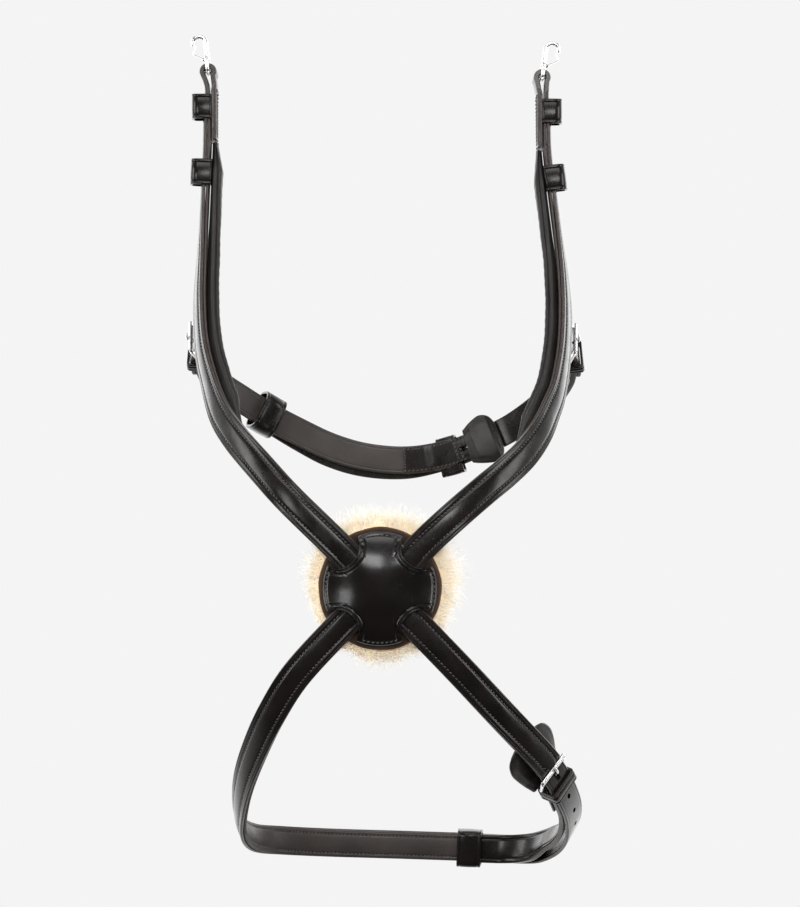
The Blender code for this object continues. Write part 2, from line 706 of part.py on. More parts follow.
def tapered_strap(route, stops, step=STRAP_STEP, tip=0.0):
    """A strap whose bottom and top change along it; stops are length, bottom and top."""
    rings = []
    for first, second in zip(stops, stops[1:]):
        distances = spread(first[0], second[0], step)
        if rings:
            distances = distances[1:]
        for distance in distances:
            part = (distance - first[0]) / (second[0] - first[0])
            bottom = first[1] + (second[1] - first[1]) * part
            top = first[2] + (second[2] - first[2]) * part
            edge = min(STRAP_EDGE, (top - bottom) * 0.3)
            rings.append(strap_ring(route, distance, STRAP_HALF, bottom, top, edge))
    last, bottom, top = stops[-1]
    for turn in (25, 50, 72) if tip else ():
        angle = math.radians(turn)
        half = STRAP_HALF * (0.12 + 0.88 * math.cos(angle))
        edge = min(STRAP_EDGE, (top - bottom) * 0.3)
        rings.append(strap_ring(route, last + tip * math.sin(angle), half, bottom, top, edge))
    return loft(rings)


def add_buckle_keeper(name, route, middle, length):
    keeper = band(route, middle, length, STRAP_HALF + 0.6, CHAPE_BACK, -1.7, KEEPER_WALL, back_wall=1.2)
    add_object(name, keeper, leather)


def add_cheek_fitting(side, route):
    """Adjustable link behind a cheek: a holed tab from the cheek strap through the jaw strap's buckle."""
    prefix = "cheek_" + side
    heel = TAB_TOE + BUCKLE_REACH
    stops = ((TAB_ROOT, BILLET_BOTTOM, TAB_THIN_TOP), (4.0, BILLET_BOTTOM, TAB_THIN_TOP),
             (7.5, BILLET_BOTTOM, BILLET_TOP), (heel + 15.0, BILLET_BOTTOM, BILLET_TOP))
    tab = add_object(prefix + "_tab", tapered_strap(route, stops, step=5.0, tip=8.0), leather)
    cut_prong_slot(tab, route, heel, -1.0)
    add_buckle(prefix, route, heel, TAB_TOE)
    add_chape(prefix, route, heel, 1.0, 24.0)
    add_buckle_keeper(prefix + "_keeper", route, heel + 6.8, 7.0)
    return heel + CARRIER_START


def add_jaw_assembly(left, right):
    """The strap behind the upper jaw: padded left part with the buckle, right part with the holes."""
    left_start = add_cheek_fitting("left", left)
    right_start = add_cheek_fitting("right", right)
    heel = left.nearest(JAW_HEEL)
    toe = heel + BUCKLE_REACH
    carrier_end = heel - CARRIER_START
    outer = strap(left, left_start, carrier_end, CARRIER_TOP - 1.8, CARRIER_TOP)
    add_object("jaw_strap", outer, leather)
    inner = channel(left, left_start, carrier_end, LINING_HALF, CARRIER_BOTTOM, CARRIER_TOP - 2.2)
    add_object("jaw_lining", inner, lining_leather)
    billet_toe = right.nearest(left.point(toe))
    stops = ((right_start, CARRIER_BOTTOM, CARRIER_TOP), (right_start + 10.0, CARRIER_BOTTOM, CARRIER_TOP),
             (billet_toe - 16.0, BILLET_BOTTOM, BILLET_TOP), (billet_toe + 24.0, BILLET_BOTTOM, BILLET_TOP),
             (right.length - 9.0, BILLET_BOTTOM, BILLET_TOP))
    billet = add_object("jaw_billet", tapered_strap(right, stops, tip=9.0), leather)
    cut_prong_slot(billet, left, heel, 1.0)
    add_buckle("jaw", left, heel, toe)
    add_chape("jaw", left, heel, -1.0, 49.0, proud_end=RUNNER_AWAY + 10.5)
    add_guard("jaw_guard", left, toe + 10.0, heel - GUARD_ROOT, -7.2, 17.0)
    runner = band(
        left, heel - RUNNER_AWAY, RUNNER_LENGTH, STRAP_HALF + RUNNER_SLACK, RUNNER_BACK, -0.6, KEEPER_WALL,
        back_wall=1.2, shift=GAP - RUNNER_SLACK,
    )
    add_object("jaw_runner_keeper", runner, leather)
    end_keeper = band(left, left.nearest(JAW_END), KEEPER_LENGTH, STRAP_HALF + 2.6, -14.4, 1.6, 1.8)
    add_object("jaw_end_keeper", end_keeper, leather)


def add_lower_left(route):
    face = strap(route, 0.0, route.length, -FACE_DEPTH, 0.0)
    add_object("lower_strap_left", face, leather)
    lining = channel(route, 0.0, route.length, LINING_HALF, LINING_BOTTOM, LINING_TOP)
    add_object("lower_lining_left", lining, lining_leather)


def add_chin_assembly(route):
    """The lower right strap, its holed end, and the chin strap with the buckle that takes it."""
    toe = route.nearest(CHIN_TOE)
    heel = toe + BUCKLE_REACH
    rear = route.nearest(CHIN_REAR)
    face = strap(route, 0.0, toe - BAR_RADIUS - 1.4, -FACE_DEPTH + 0.3, 0.0)
    add_object("lower_strap_right", face, leather)
    stops = ((0.0, BILLET_BOTTOM, BILLET_TOP), (route.length - 8.0, BILLET_BOTTOM, BILLET_TOP))
    billet = add_object("chin_billet", tapered_strap(route, stops, tip=8.0), leather)
    cut_prong_slot(billet, route, heel, -1.0)
    add_buckle("chin", route, heel, toe)
    add_chape("chin", route, heel, 1.0, 30.0)
    add_guard("chin_guard", route, toe - 26.0, heel + GUARD_ROOT, -6.2, 17.5)
    add_buckle_keeper("chin_buckle_keeper", route, heel + 7.2, 9.0)
    start = heel + CARRIER_START
    middle = (start + rear) / 2 + 8.0
    stops = ((start, CARRIER_BOTTOM, CARRIER_TOP), (start + 22.0, CARRIER_BOTTOM, CARRIER_TOP),
             (middle, CARRIER_BOTTOM - CHIN_SLACK, CARRIER_TOP - CHIN_SLACK),
             (rear - 22.0, CARRIER_BOTTOM, CARRIER_TOP),
             (rear - 1.6, CARRIER_BOTTOM, CARRIER_TOP))
    add_object("chin_strap", tapered_strap(route, stops, step=7.0), leather)
    keeper = band(route, rear, KEEPER_LENGTH, STRAP_HALF + 1.0, -13.4, -1.8, 1.7)
    add_object("chin_rear_keeper", keeper, leather)


def main():
    clear_scene()
    upper_left = Route(UPPER_LEFT)
    upper_right = Route(UPPER_RIGHT)
    lower_left = Route(LOWER_LEFT)
    lower_right = Route(LOWER_RIGHT)
    add_disc((upper_left, upper_right, lower_left, lower_right))
    add_side(
        "left", -1.0, upper_left, Vector((-114.0, 119.0, 334.0)), 6.0, 3.3,
        (("upper", (-117.3, 118.5, 312.0)), ("lower", (-118.0, 113.6, 267.5))),
        (-117.2, 117.4, 302.5), ((-117.3, 116.0, 288.4), (-92.4, 30.0, 93.6)), (-117.2, 116.0, 289.0),
    )
    add_side(
        "right", 1.0, upper_right, Vector((105.8, 119.0, 330.0)), 8.0, 5.6,
        (("upper", (111.4, 118.5, 309.0)), ("lower", (114.2, 113.6, 264.0))),
        (111.5, 117.4, 299.5), ((111.8, 116.0, 283.4), (88.0, 24.0, 80.0)), (111.8, 116.0, 284.0),
    )
    add_lower_left(lower_left)
    add_jaw_assembly(Route(JAW_LEFT), Route(JAW_RIGHT))
    add_chin_assembly(lower_right)


main()
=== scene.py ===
import math
import random

import bmesh
import bpy
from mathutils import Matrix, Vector

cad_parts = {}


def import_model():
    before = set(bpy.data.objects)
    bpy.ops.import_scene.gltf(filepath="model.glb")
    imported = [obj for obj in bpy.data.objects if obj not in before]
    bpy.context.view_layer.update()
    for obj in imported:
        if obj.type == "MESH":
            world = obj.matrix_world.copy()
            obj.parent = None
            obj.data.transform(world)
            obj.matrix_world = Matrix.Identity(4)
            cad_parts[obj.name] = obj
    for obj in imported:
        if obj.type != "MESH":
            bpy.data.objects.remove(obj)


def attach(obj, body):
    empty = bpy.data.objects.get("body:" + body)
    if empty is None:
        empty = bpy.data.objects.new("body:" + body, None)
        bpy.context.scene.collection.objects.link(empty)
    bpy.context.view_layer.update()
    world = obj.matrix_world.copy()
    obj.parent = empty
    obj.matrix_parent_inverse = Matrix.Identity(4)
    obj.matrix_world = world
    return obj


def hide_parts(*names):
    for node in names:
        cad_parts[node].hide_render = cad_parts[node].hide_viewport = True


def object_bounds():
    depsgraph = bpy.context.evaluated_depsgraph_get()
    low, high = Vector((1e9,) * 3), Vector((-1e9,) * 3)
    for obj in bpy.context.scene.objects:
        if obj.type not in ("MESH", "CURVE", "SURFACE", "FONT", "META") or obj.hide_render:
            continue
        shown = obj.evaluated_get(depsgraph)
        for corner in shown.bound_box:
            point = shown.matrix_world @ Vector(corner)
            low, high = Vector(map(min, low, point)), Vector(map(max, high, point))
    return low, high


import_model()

# Looks for the figure-of-eight noseband. Points are millimetres in the nose disc's own frame, as in
# the CAD: x to the viewer's right, y from the nose to the jaw, z up. world() moves them to the
# shared frame, in metres. A lift is a distance outwards from a strap's outer face.

CAD_LOW, CAD_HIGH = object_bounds()
MM = 0.001
HOOK_LINE = Vector((0.0, 119.0, 356.0))
BODY = "noseband"

STRAP_WIDTH = 19.0
STRAP_HALF = STRAP_WIDTH / 2
GAP = 0.4
FACE_DEPTH = 2.4
LINING_TOP = -2.7
LINING_BOTTOM = -5.0
LINING_HALF = 9.0
BILLET_TOP = -2.4
BILLET_BOTTOM = -5.0
CARRIER_TOP = -5.4
CARRIER_BOTTOM = -9.4
CHAPE_THICK = 1.8
CHAPE_INNER = CARRIER_BOTTOM - 0.8 - CHAPE_THICK / 2
CARRIER_START = 11.6
CHIN_SLACK = 4.0
JAW_STRAP_THICK = 1.8
JAW_LINING_TOP = CARRIER_TOP - 2.1
TAB_ROOT = -6.0
TAB_THIN_TOP = -4.1
TAB_TOE = 12.5
JAW_HEEL = (62.0, 186.0, 87.6)
CHIN_TOE = (108.8, 33.4, -114.6)
CHIN_REAR = (59.7, 158.5, -183.2)
JAW_END = (-78.0, 181.0, 107.6)

BAR_RADIUS = 1.3
BAR_CLEARANCE = 0.7
PRONG_RADIUS = 0.9
BUCKLE_REACH = 12.5
BUCKLE_INSIDE = 21.0
TOE_LIFT = BILLET_TOP + BAR_CLEARANCE + BAR_RADIUS
HEEL_LIFT = BILLET_BOTTOM - GAP - CHAPE_THICK - BAR_CLEARANCE - BAR_RADIUS
CHAPE_BACK = HEEL_LIFT - BAR_RADIUS - BAR_CLEARANCE - CHAPE_THICK - 0.7
RUNNER_AWAY = 16.0
RUNNER_SLACK = 2.3
RUNNER_BACK = CARRIER_BOTTOM - 0.3
GUARD_THICK = 5.0
GUARD_ROOT = 2.2
GUARD_ROOT_LIFT = -13.6
GUARD_SHAPE = (
    (0.0, 0.5), (0.04, 0.7), (0.11, 0.86), (0.22, 0.96), (0.36, 1.0), (0.52, 0.95), (0.7, 0.86),
    (0.86, 0.77), (1.0, 0.68),
)

DISC_RADIUS = 35.0
DISC_CROWN = 11.0
DISC_EDGE = 2.4
DISC_SHOULDER = 7.6
SCALLOP_CENTRE = 37.5
SCALLOP_RADIUS = 14.0
DISC_STITCH_RADIUS = 32.9
DISC_STITCH_PITCH = 2.7
DISC_EDGE_ROUND = 0.9
FRONT_LOCKS = 7000
BACK_LOCKS = 3500
WOOL_REACH = 58.0
WOOL_SEED = 7

HOOK_WIRE = 1.25
EYE_RADIUS = 4.0
LOOP_THICK = 3.4
KEEPER_ROOM = 6.2
KEEPER_TIP = 0.15
KEEPER_LENGTH = 17.0
KEEPER_WALL = 1.6
KEEPER_BACK_WALL = 1.2
EYE_HEIGHT = 9.4
EYE_CORNER = 2.2
HOOK_BEND = 4.3
FRAME_CORNER = 1.9
PRONG_CLEARANCE = 0.35
SLOT_HALF = 1.7
CUT_PAST = 1.5
HOLE_PITCH = 19.0
HOLE_HALF_LONG = 2.4
HOLE_HALF_WIDE = 1.5
PAD_TOP = -7.0
PAD_THICK = 6.0
PAD_HALF = 12.3
PAD_ROLL = 2.2

STITCH_SIDE = 5.3
STITCH_PITCH = 2.6
LINING_STITCH_SIDE = 6.7
FINE_STEP = 2.5
FOLD_STITCH_SIDE = 7.4
CROSS_PITCH = 2.2
THREAD_SIDES = 6
THREAD_RADIUS = 0.42
THREAD_SHARE = 0.74
STITCH_SLANT = 18.0
STITCH_SINK = 0.42
HOLE_SIZE = 0.62
BACKDROP = 0.905

# The straps' lines. Each row is a place and the direction that the strap's outer face looks in. The
# upper and lower lines start at the disc. The jaw lines start at the cheeks.
UPPER_LEFT = (
    (-10.2, -5.4, 10.4, 0, -1, 0), (-29.3, -5.4, 29.6, 0, -1, 0), (-56.5, -1, 55.8, -.12, -.99, .04),
    (-75.7, 12, 76, -.3, -.95, .1), (-92.4, 30, 93.6, -.55, -.83, .1), (-104, 48, 109.5, -.76, -.65, .1),
    (-112.2, 67, 130, -.88, -.46, .05), (-118.4, 84, 154, -.92, -.4, 0), (-120.8, 98, 183, -.94, -.33, 0),
    (-120.2, 105, 209, -.97, -.24, 0), (-119, 109.5, 236, -.99, -.14, 0),
    (-118.2, 112.5, 258, -.995, -.09, 0), (-117.2, 116, 289, -.998, -.06, 0),
    (-117.3, 118.5, 312, -.998, -.06, 0), (-117.3, 119, 326, -1, 0, 0),
)
UPPER_RIGHT = (
    (10.6, -5.4, 9.4, 0, -1, 0), (28.6, -5.4, 28.8, 0, -1, 0), (46.1, -3, 44.9, .06, -.99, .03),
    (65, 5, 60.8, .18, -.97, .08), (78.5, 14, 71.4, .3, -.94, .1), (92, 27, 83.4, .5, -.86, .1),
    (103, 42, 97.4, .7, -.7, .1), (110.2, 56, 111, .83, -.55, .08), (115.8, 68, 124.5, .89, -.45, .05),
    (120.6, 84, 149, .92, -.4, 0), (122.4, 97, 176.1, .93, -.35, 0), (121.2, 105, 202.8, .97, -.25, 0),
    (118, 110, 229.5, .99, -.14, 0), (114.8, 113, 256.2, .995, -.09, 0), (111.8, 116, 283, .998, -.05, 0),
    (111.4, 118.5, 308, .998, -.04, 0), (111.4, 119, 322, 1, 0, 0),
)
LOWER_LEFT = (
    (-10.8, -5.4, -9.6, 0, -1, 0), (-25.6, -5.4, -24.4, 0, -1, 0), (-51.8, 3, -53.4, -.14, -.98, -.05),
    (-68, 17, -79, -.34, -.92, -.1), (-79.2, 33, -101.5, -.56, -.8, -.14),
    (-88.4, 52, -125, -.78, -.58, -.18), (-93, 74, -146, -.92, -.3, -.22),
    (-93.3, 98, -162, -.93, .1, -.34), (-86, 123, -172, -.74, .6, -.3),
    (-67.5, 142, -176.5, -.36, .92, -.12), (-35, 151.5, -179.4, -.08, 1, -.02),
    (12.3, 154, -181.2, 0, 1, 0), (59.6, 153, -182.6, .06, 1, 0),
)
LOWER_RIGHT = (
    (10.4, -5.4, -9.9, 0, -1, 0), (24.5, -5.4, -24.3, 0, -1, 0), (49.1, -3, -49.7, .08, -.99, .04),
    (74, 6, -76.4, .22, -.97, .06), (93.2, 19, -97, .34, -.93, .06), (103, 27.5, -107.9, .4, -.91, .04),
    (113.4, 39, -121.5, .5, -.86, .02), (121.6, 54, -135.6, .66, -.74, -.06),
    (127, 74, -150.4, .84, -.45, -.3), (127.4, 96, -165.2, .84, -.02, -.54),
    (121.4, 120, -177.3, .6, .45, -.66), (107.5, 141, -183.4, .32, .86, -.4),
    (86.5, 154, -184.2, .12, .98, -.12), (59.7, 158.5, -183.2, .06, 1, 0), (39.4, 159.6, -182.4, .04, 1, 0),
)
JAW_LEFT = (
    (-121.6, 100, 167, -.94, -.34, .08), (-126, 110.5, 158.8, -.98, -.15, 0),
    (-128.4, 124, 149.5, -.98, .16, -.06), (-125, 141, 138.8, -.86, .48, -.1),
    (-114.6, 158, 129.6, -.66, .74, -.08), (-99.4, 170.5, 120, -.5, .86, -.05),
    (-80.2, 180, 108.8, -.36, .93, 0), (-58, 186.5, 97.4, -.24, .97, 0), (-35.9, 190, 87.4, -.12, .99, 0),
    (-11.8, 192, 80.6, -.03, 1, 0), (15.7, 192, 78.2, .06, 1, 0), (40, 190, 81, .14, .99, 0),
    (62, 186, 87.6, .2, .98, 0), (76, 182.5, 93.4, .26, .96, 0),
)
JAW_RIGHT = (
    (123.9, 102.3, 166, .94, -.32, .1), (128.6, 112.8, 157.8, .98, -.15, 0),
    (133.8, 126, 148, .98, .16, -.06), (132.4, 140, 138, .88, .46, -.1), (123.4, 155, 126.8, .7, .7, -.08),
    (109, 168.5, 113.6, .52, .84, -.05), (92, 176.8, 101.8, .36, .93, 0), (76, 182.5, 93.4, .26, .96, 0),
    (62, 186, 87.6, .2, .98, 0), (40, 190.8, 79.6, .12, .99, 0), (15.7, 193.4, 74.6, .05, 1, 0),
    (-11.8, 193.6, 76, -.03, 1, 0), (-35.9, 191.6, 82.8, -.12, .99, 0), (-58, 188.2, 94.2, -.24, .97, 0),
    (-80.2, 182, 107.6, -.36, .93, 0),
)


# ---------------------------------------------------------------- curves

def spline(points, at):
    """Value of a smooth curve through the points at a place counted in points."""
    index = min(int(at), len(points) - 2)
    part = at - index
    before = points[max(index - 1, 0)]
    start = points[index]
    end = points[index + 1]
    after = points[min(index + 2, len(points) - 1)]
    square = part * part
    cube = square * part
    return 0.5 * (
        2.0 * start
        + (end - before) * part
        + (2.0 * before - 5.0 * start + 4.0 * end - after) * square
        + (3.0 * start - before - 3.0 * end + after) * cube
    )


def smoothed(points, turns, closed=False):
    """The points with more between them, on a smooth curve."""
    vectors = [Vector(point) for point in points]
    if closed:
        vectors = vectors[-2:] + vectors + vectors[:3]
    made = [spline(vectors, index / turns) for index in range((len(vectors) - 1) * turns)]
    if closed:
        return made[2 * turns:2 * turns + len(points) * turns]
    return made + [vectors[-1]]


class Route:
    """A strap's line: points with outward directions, read by length along the line."""

    FINE = 24

    def __init__(self, stops):
        places = [Vector(stop[:3]) for stop in stops]
        facings = [Vector(stop[3:]) for stop in stops]
        count = (len(stops) - 1) * self.FINE
        self.places = [spline(places, index / self.FINE) for index in range(count + 1)]
        self.facings = [spline(facings, index / self.FINE) for index in range(count + 1)]
        self.along = [0.0]
        for first, second in zip(self.places, self.places[1:]):
            self.along.append(self.along[-1] + (second - first).length)
        self.length = self.along[-1]

    def _index(self, distance):
        low = 0
        high = len(self.along) - 2
        while low < high:
            middle = (low + high + 1) // 2
            if self.along[middle] <= distance:
                low = middle
            else:
                high = middle - 1
        return low

    def _read(self, values, distance):
        index = self._index(distance)
        span = self.along[index + 1] - self.along[index]
        part = (distance - self.along[index]) / span
        return values[index].lerp(values[index + 1], part)

    def place(self, distance):
        if distance < 0.0:
            return self.places[0] + self.heading(0.0) * distance
        if distance > self.length:
            return self.places[-1] + self.heading(self.length) * (distance - self.length)
        return self._read(self.places, distance)

    def heading(self, distance):
        middle = min(max(distance, 1.5), self.length - 1.5)
        return (self._read(self.places, middle + 1.5) - self._read(self.places, middle - 1.5)).normalized()

    def frame(self, distance):
        """Place, heading, outward and sideways directions."""
        clamped = min(max(distance, 0.0), self.length)
        heading = self.heading(distance)
        facing = self._read(self.facings, clamped)
        outward = (facing - heading * facing.dot(heading)).normalized()
        return self.place(distance), heading, outward, heading.cross(outward)

    def point(self, distance, side=0.0, lift=0.0):
        place, _, outward, sideways = self.frame(distance)
        return place + sideways * side + outward * lift

    def nearest(self, target):
        """Length along the line of the place nearest to a point."""
        wanted = Vector(target)
        best = min(range(len(self.places)), key=lambda index: (self.places[index] - wanted).length)
        return self.along[best]


def spread(start, end, step):
    """Places from start to end, evenly spaced and close to a step apart."""
    count = max(1, round(abs(end - start) / step))
    return [start + (end - start) * index / count for index in range(count + 1)]


def bump(value, centre, width):
    """A soft hump of height 1 round a centre."""
    return math.exp(-(((value - centre) / width) ** 2))


def clamp(value):
    """The value held between 0 and 1."""
    return min(1.0, max(0.0, value))


def fallen(over):
    """How far a quarter round has dropped, from 0 where it starts to 1 at the edge."""
    over = clamp(over)
    return 1.0 - math.sqrt(1.0 - over * over)


def arc(x, y, radius, turns):
    """Points on a circle, at angles in degrees."""
    angles = [math.radians(turn) for turn in turns]
    return [(x + radius * math.cos(angle), y + radius * math.sin(angle)) for angle in angles]


def round_rectangle(low, high, bottom, top, lower, upper, steps):
    """Points round a rectangle; lower and upper are the radii of its corners."""
    corners = (
        (high - upper, top - upper, 0.0, upper), (low + upper, top - upper, 90.0, upper),
        (low + lower, bottom + lower, 180.0, lower), (high - lower, bottom + lower, 270.0, lower),
    )
    points = []
    for x, y, first, corner in corners:
        points += arc(x, y, corner, [first + 90.0 * step / steps for step in range(steps + 1)])
    return points


def circle(middle, first, second, radius, sides):
    """Points round a place, in the plane of two directions."""
    angles = [math.tau * side / sides for side in range(sides)]
    return [middle + (first * math.cos(angle) + second * math.sin(angle)) * radius for angle in angles]


# ---------------------------------------------------------------- materials

class Nodes:
    """A short way to write a node material; every pattern is laid out in object space, in metres."""

    def __init__(self, name, roughness, **constants):
        self.material = bpy.data.materials.new(name)
        self.material.use_nodes = True
        self.tree = self.material.node_tree
        self.shader = self.tree.nodes["Principled BSDF"]
        self.shader.inputs["Roughness"].default_value = roughness
        for socket, value in constants.items():
            self.shader.inputs[socket.replace("_", " ")].default_value = value
        self.place = self.tree.nodes.new("ShaderNodeTexCoord").outputs["Object"]

    def link(self, source, node, socket):
        self.tree.links.new(source, node.inputs[socket])

    def noise(self, scale, detail=3.0, roughness=0.55):
        node = self.tree.nodes.new("ShaderNodeTexNoise")
        node.inputs["Scale"].default_value = scale
        node.inputs["Detail"].default_value = detail
        node.inputs["Roughness"].default_value = roughness
        self.link(self.place, node, "Vector")
        return node.outputs["Fac"]

    def cells(self, scale):
        node = self.tree.nodes.new("ShaderNodeTexVoronoi")
        node.feature = "DISTANCE_TO_EDGE"
        node.inputs["Scale"].default_value = scale
        self.link(self.place, node, "Vector")
        return node.outputs["Distance"]

    def attribute(self, name):
        node = self.tree.nodes.new("ShaderNodeAttribute")
        node.attribute_name = name
        return node.outputs["Fac"]

    def scaled(self, source, low, high, to_low, to_high):
        node = self.tree.nodes.new("ShaderNodeMapRange")
        node.inputs["From Min"].default_value = low
        node.inputs["From Max"].default_value = high
        node.inputs["To Min"].default_value = to_low
        node.inputs["To Max"].default_value = to_high
        self.link(source, node, "Value")
        return node.outputs["Result"]

    def maths(self, operation, first, second):
        node = self.tree.nodes.new("ShaderNodeMath")
        node.operation = operation
        for index, value in enumerate((first, second)):
            if isinstance(value, float):
                node.inputs[index].default_value = value
            else:
                self.tree.links.new(value, node.inputs[index])
        return node.outputs[0]

    def colours(self, source, stops):
        node = self.tree.nodes.new("ShaderNodeValToRGB")
        ramp = node.color_ramp
        while len(ramp.elements) < len(stops):
            ramp.elements.new(0.5)
        for element, (position, colour) in zip(ramp.elements, stops):
            element.position = position
            element.color = (*colour, 1.0)
        self.link(source, node, "Fac")
        return node.outputs["Color"]

    def mottle(self, source, low, dark, high, light):
        """A base colour that wanders between two colours."""
        self.link(self.colours(source, ((low, dark), (high, light))), self.shader, "Base Color")

    def mixed(self, factor, first, second):
        node = self.tree.nodes.new("ShaderNodeMix")
        node.data_type = "RGBA"
        self.tree.links.new(factor, node.inputs["Factor"])
        for socket, value in ((node.inputs[6], first), (node.inputs[7], second)):
            if isinstance(value, tuple):
                socket.default_value = (*value, 1.0)
            else:
                self.tree.links.new(value, socket)
        return node.outputs[2]

    def bumped(self, *layers):
        """Bump layers of (height, strength, distance in metres), fine ones last."""
        normal = None
        for height, strength, distance in layers:
            node = self.tree.nodes.new("ShaderNodeBump")
            node.inputs["Strength"].default_value = strength
            node.inputs["Distance"].default_value = distance
            self.link(height, node, "Height")
            if normal is not None:
                self.link(normal, node, "Normal")
            normal = node.outputs["Normal"]
        self.link(normal, self.shader, "Normal")


def leather(name, dark, light, gloss, grain, coat=0.0, worn=(0.05, 0.04, 0.035)):
    """Dyed bridle leather: fine pores, slow shifts of tone, and paler, rougher cut edges."""
    nodes = Nodes(name, gloss, Coat_Weight=coat, Coat_Roughness=0.16, Coat_IOR=1.35, Specular_IOR_Level=0.34)
    tone = nodes.noise(38.0, 4.0)
    base = nodes.colours(tone, ((0.3, dark), (0.72, light)))
    wear = nodes.attribute("wear")
    patchy = nodes.maths("MULTIPLY", wear, nodes.scaled(nodes.noise(420.0), 0.3, 0.7, 0.45, 1.0))
    nodes.link(nodes.mixed(patchy, base, worn), nodes.shader, "Base Color")
    smudge = nodes.scaled(nodes.noise(90.0), 0.3, 0.7, gloss - 0.05, gloss + 0.09)
    nodes.link(nodes.maths("ADD", smudge, nodes.scaled(wear, 0.0, 1.0, 0.0, 0.16)), nodes.shader, "Roughness")
    nodes.bumped(
        (nodes.noise(160.0, 2.0), 0.10 + grain * 0.3, 0.0006),
        (nodes.cells(1500.0), grain, 0.00010),
        (nodes.noise(3600.0, 2.0), grain * 0.6, 0.00005),
    )
    return nodes.material


def thread():
    """Waxed linen thread, twisted."""
    nodes = Nodes("waxed_thread", 0.30, Sheen_Weight=0.1)
    nodes.mottle(nodes.noise(900.0, 2.0), 0.35, (0.020, 0.018, 0.017), 0.7, (0.075, 0.068, 0.064))
    nodes.bumped((nodes.noise(5200.0, 2.0), 0.5, 0.0001))
    return nodes.material


def painted_hole_shade():
    """Near-black matte finish for stitch holes: painted shade standing for the dark inside of a hole."""
    nodes = Nodes("stitch_hole_painted_shade", 0.9, Specular_IOR_Level=0.1)
    nodes.mottle(nodes.noise(700.0), 0.3, (0.002, 0.002, 0.002), 0.8, (0.006, 0.005, 0.005))
    return nodes.material


def polished_steel():
    """Stainless steel: fine polishing lines and a few dull spots."""
    nodes = Nodes("polished_steel", 0.2, Metallic=1.0)
    nodes.mottle(nodes.noise(140.0), 0.3, (0.80, 0.79, 0.78), 0.75, (0.93, 0.93, 0.94))
    nodes.link(nodes.scaled(nodes.noise(300.0), 0.3, 0.75, 0.32, 0.38), nodes.shader, "Roughness")
    nodes.bumped((nodes.noise(2400.0, 2.0), 0.01, 0.00001))
    return nodes.material


def fleece(name, cream, warm, share):
    """Sheepskin: warm cream near the leather, paler at the tips; tip runs from 0 at the root to 1."""
    nodes = Nodes(
        name, 0.92, Sheen_Weight=0.5, Sheen_Roughness=0.5, Subsurface_Weight=0.25, Subsurface_Scale=0.004,
    )
    tip = nodes.attribute("tip")
    clumps = nodes.scaled(nodes.noise(260.0), 0.3, 0.7, 0.0, share)
    nodes.link(nodes.mixed(nodes.maths("ADD", tip, clumps), warm, cream), nodes.shader, "Base Color")
    nodes.bumped((nodes.noise(900.0, 4.0), 0.6, 0.0008))
    return nodes.material


def floor_finish():
    """A lit white floor, as pale as the air above it, so that it shows no horizon."""
    nodes = Nodes("pale_floor", 1.0, Specular_IOR_Level=0.0, Emission_Strength=1.0)
    nodes.shader.inputs["Base Color"].default_value = (0.0, 0.0, 0.0, 1.0)
    nodes.shader.inputs["Emission Color"].default_value = (BACKDROP, BACKDROP, BACKDROP, 1.0)
    return nodes.material


BLACK = leather("strap_leather", (0.0038, 0.0030, 0.0028), (0.0085, 0.0064, 0.0056), 0.24, 0.14, coat=0.25)
DISC = leather("disc_leather", (0.0032, 0.0026, 0.0024), (0.0060, 0.0045, 0.0040), 0.21, 0.05, coat=0.6)
LINING = leather("lining_leather", (0.022, 0.0185, 0.0175), (0.044, 0.037, 0.034), 0.38, 0.30)
PAD = leather("pad_leather", (0.011, 0.0098, 0.0094), (0.022, 0.0195, 0.0185), 0.44, 0.40)
GUARD = leather("guard_leather", (0.007, 0.006, 0.0056), (0.016, 0.0135, 0.0125), 0.32, 0.25)
FELT = leather("rim_felt", (0.010, 0.006, 0.004), (0.030, 0.016, 0.010), 0.72, 0.7, worn=(0.11, 0.055, 0.028))
THREAD = thread()
# painted shade: the near-black stitch-hole finish stands for the shade inside the holes
HOLE_SHADE = painted_hole_shade()
STEEL = polished_steel()
FLEECE = fleece("sheepskin", (0.90, 0.86, 0.76), (0.92, 0.68, 0.38), 0.24)


# ---------------------------------------------------------------- mesh building

def world(point):
    """A place in the shared frame, in metres, from millimetres in the disc's own frame."""
    return (point - HOOK_LINE) * MM


def linked(name, data):
    """A new object in the scene."""
    made = bpy.data.objects.new(name, data)
    bpy.context.scene.collection.objects.link(made)
    return made


def finished_mesh(name, builder):
    """A mesh in the shared frame from a bmesh in millimetres, which it uses up."""
    for vertex in builder.verts:
        vertex.co = world(vertex.co)
    bmesh.ops.recalc_face_normals(builder, faces=builder.faces)
    mesh = bpy.data.meshes.new(name)
    builder.to_mesh(mesh)
    builder.free()
    return mesh


def add_piece(name, builder, finishes, nodes=None, body=BODY, sharp=55.0):
    """One piece, standing for the CAD node of its own name unless nodes says otherwise."""
    mesh = finished_mesh(name, builder)
    mesh.shade_smooth()
    mesh.set_sharp_from_angle(angle=math.radians(sharp))
    for finish in finishes:
        mesh.materials.append(finish)
    piece = linked(name, mesh)
    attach(piece, body)
    nodes = (name,) if nodes is None else nodes
    if nodes:
        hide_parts(*nodes)
    return piece


def marked(builder, layer, point, value):
    """A new vertex with a value that its finish reads."""
    vertex = builder.verts.new(point)
    vertex[layer] = value
    return vertex


def skin(builder, rings, capped=True):
    """Faces from each ring of vertices to the next, and over both ends."""
    for lower, upper in zip(rings, rings[1:]):
        for index in range(len(lower)):
            after = (index + 1) % len(lower)
            builder.faces.new((lower[index], lower[after], upper[after], upper[index]))
    if capped:
        builder.faces.new(rings[0])
        builder.faces.new(rings[-1])


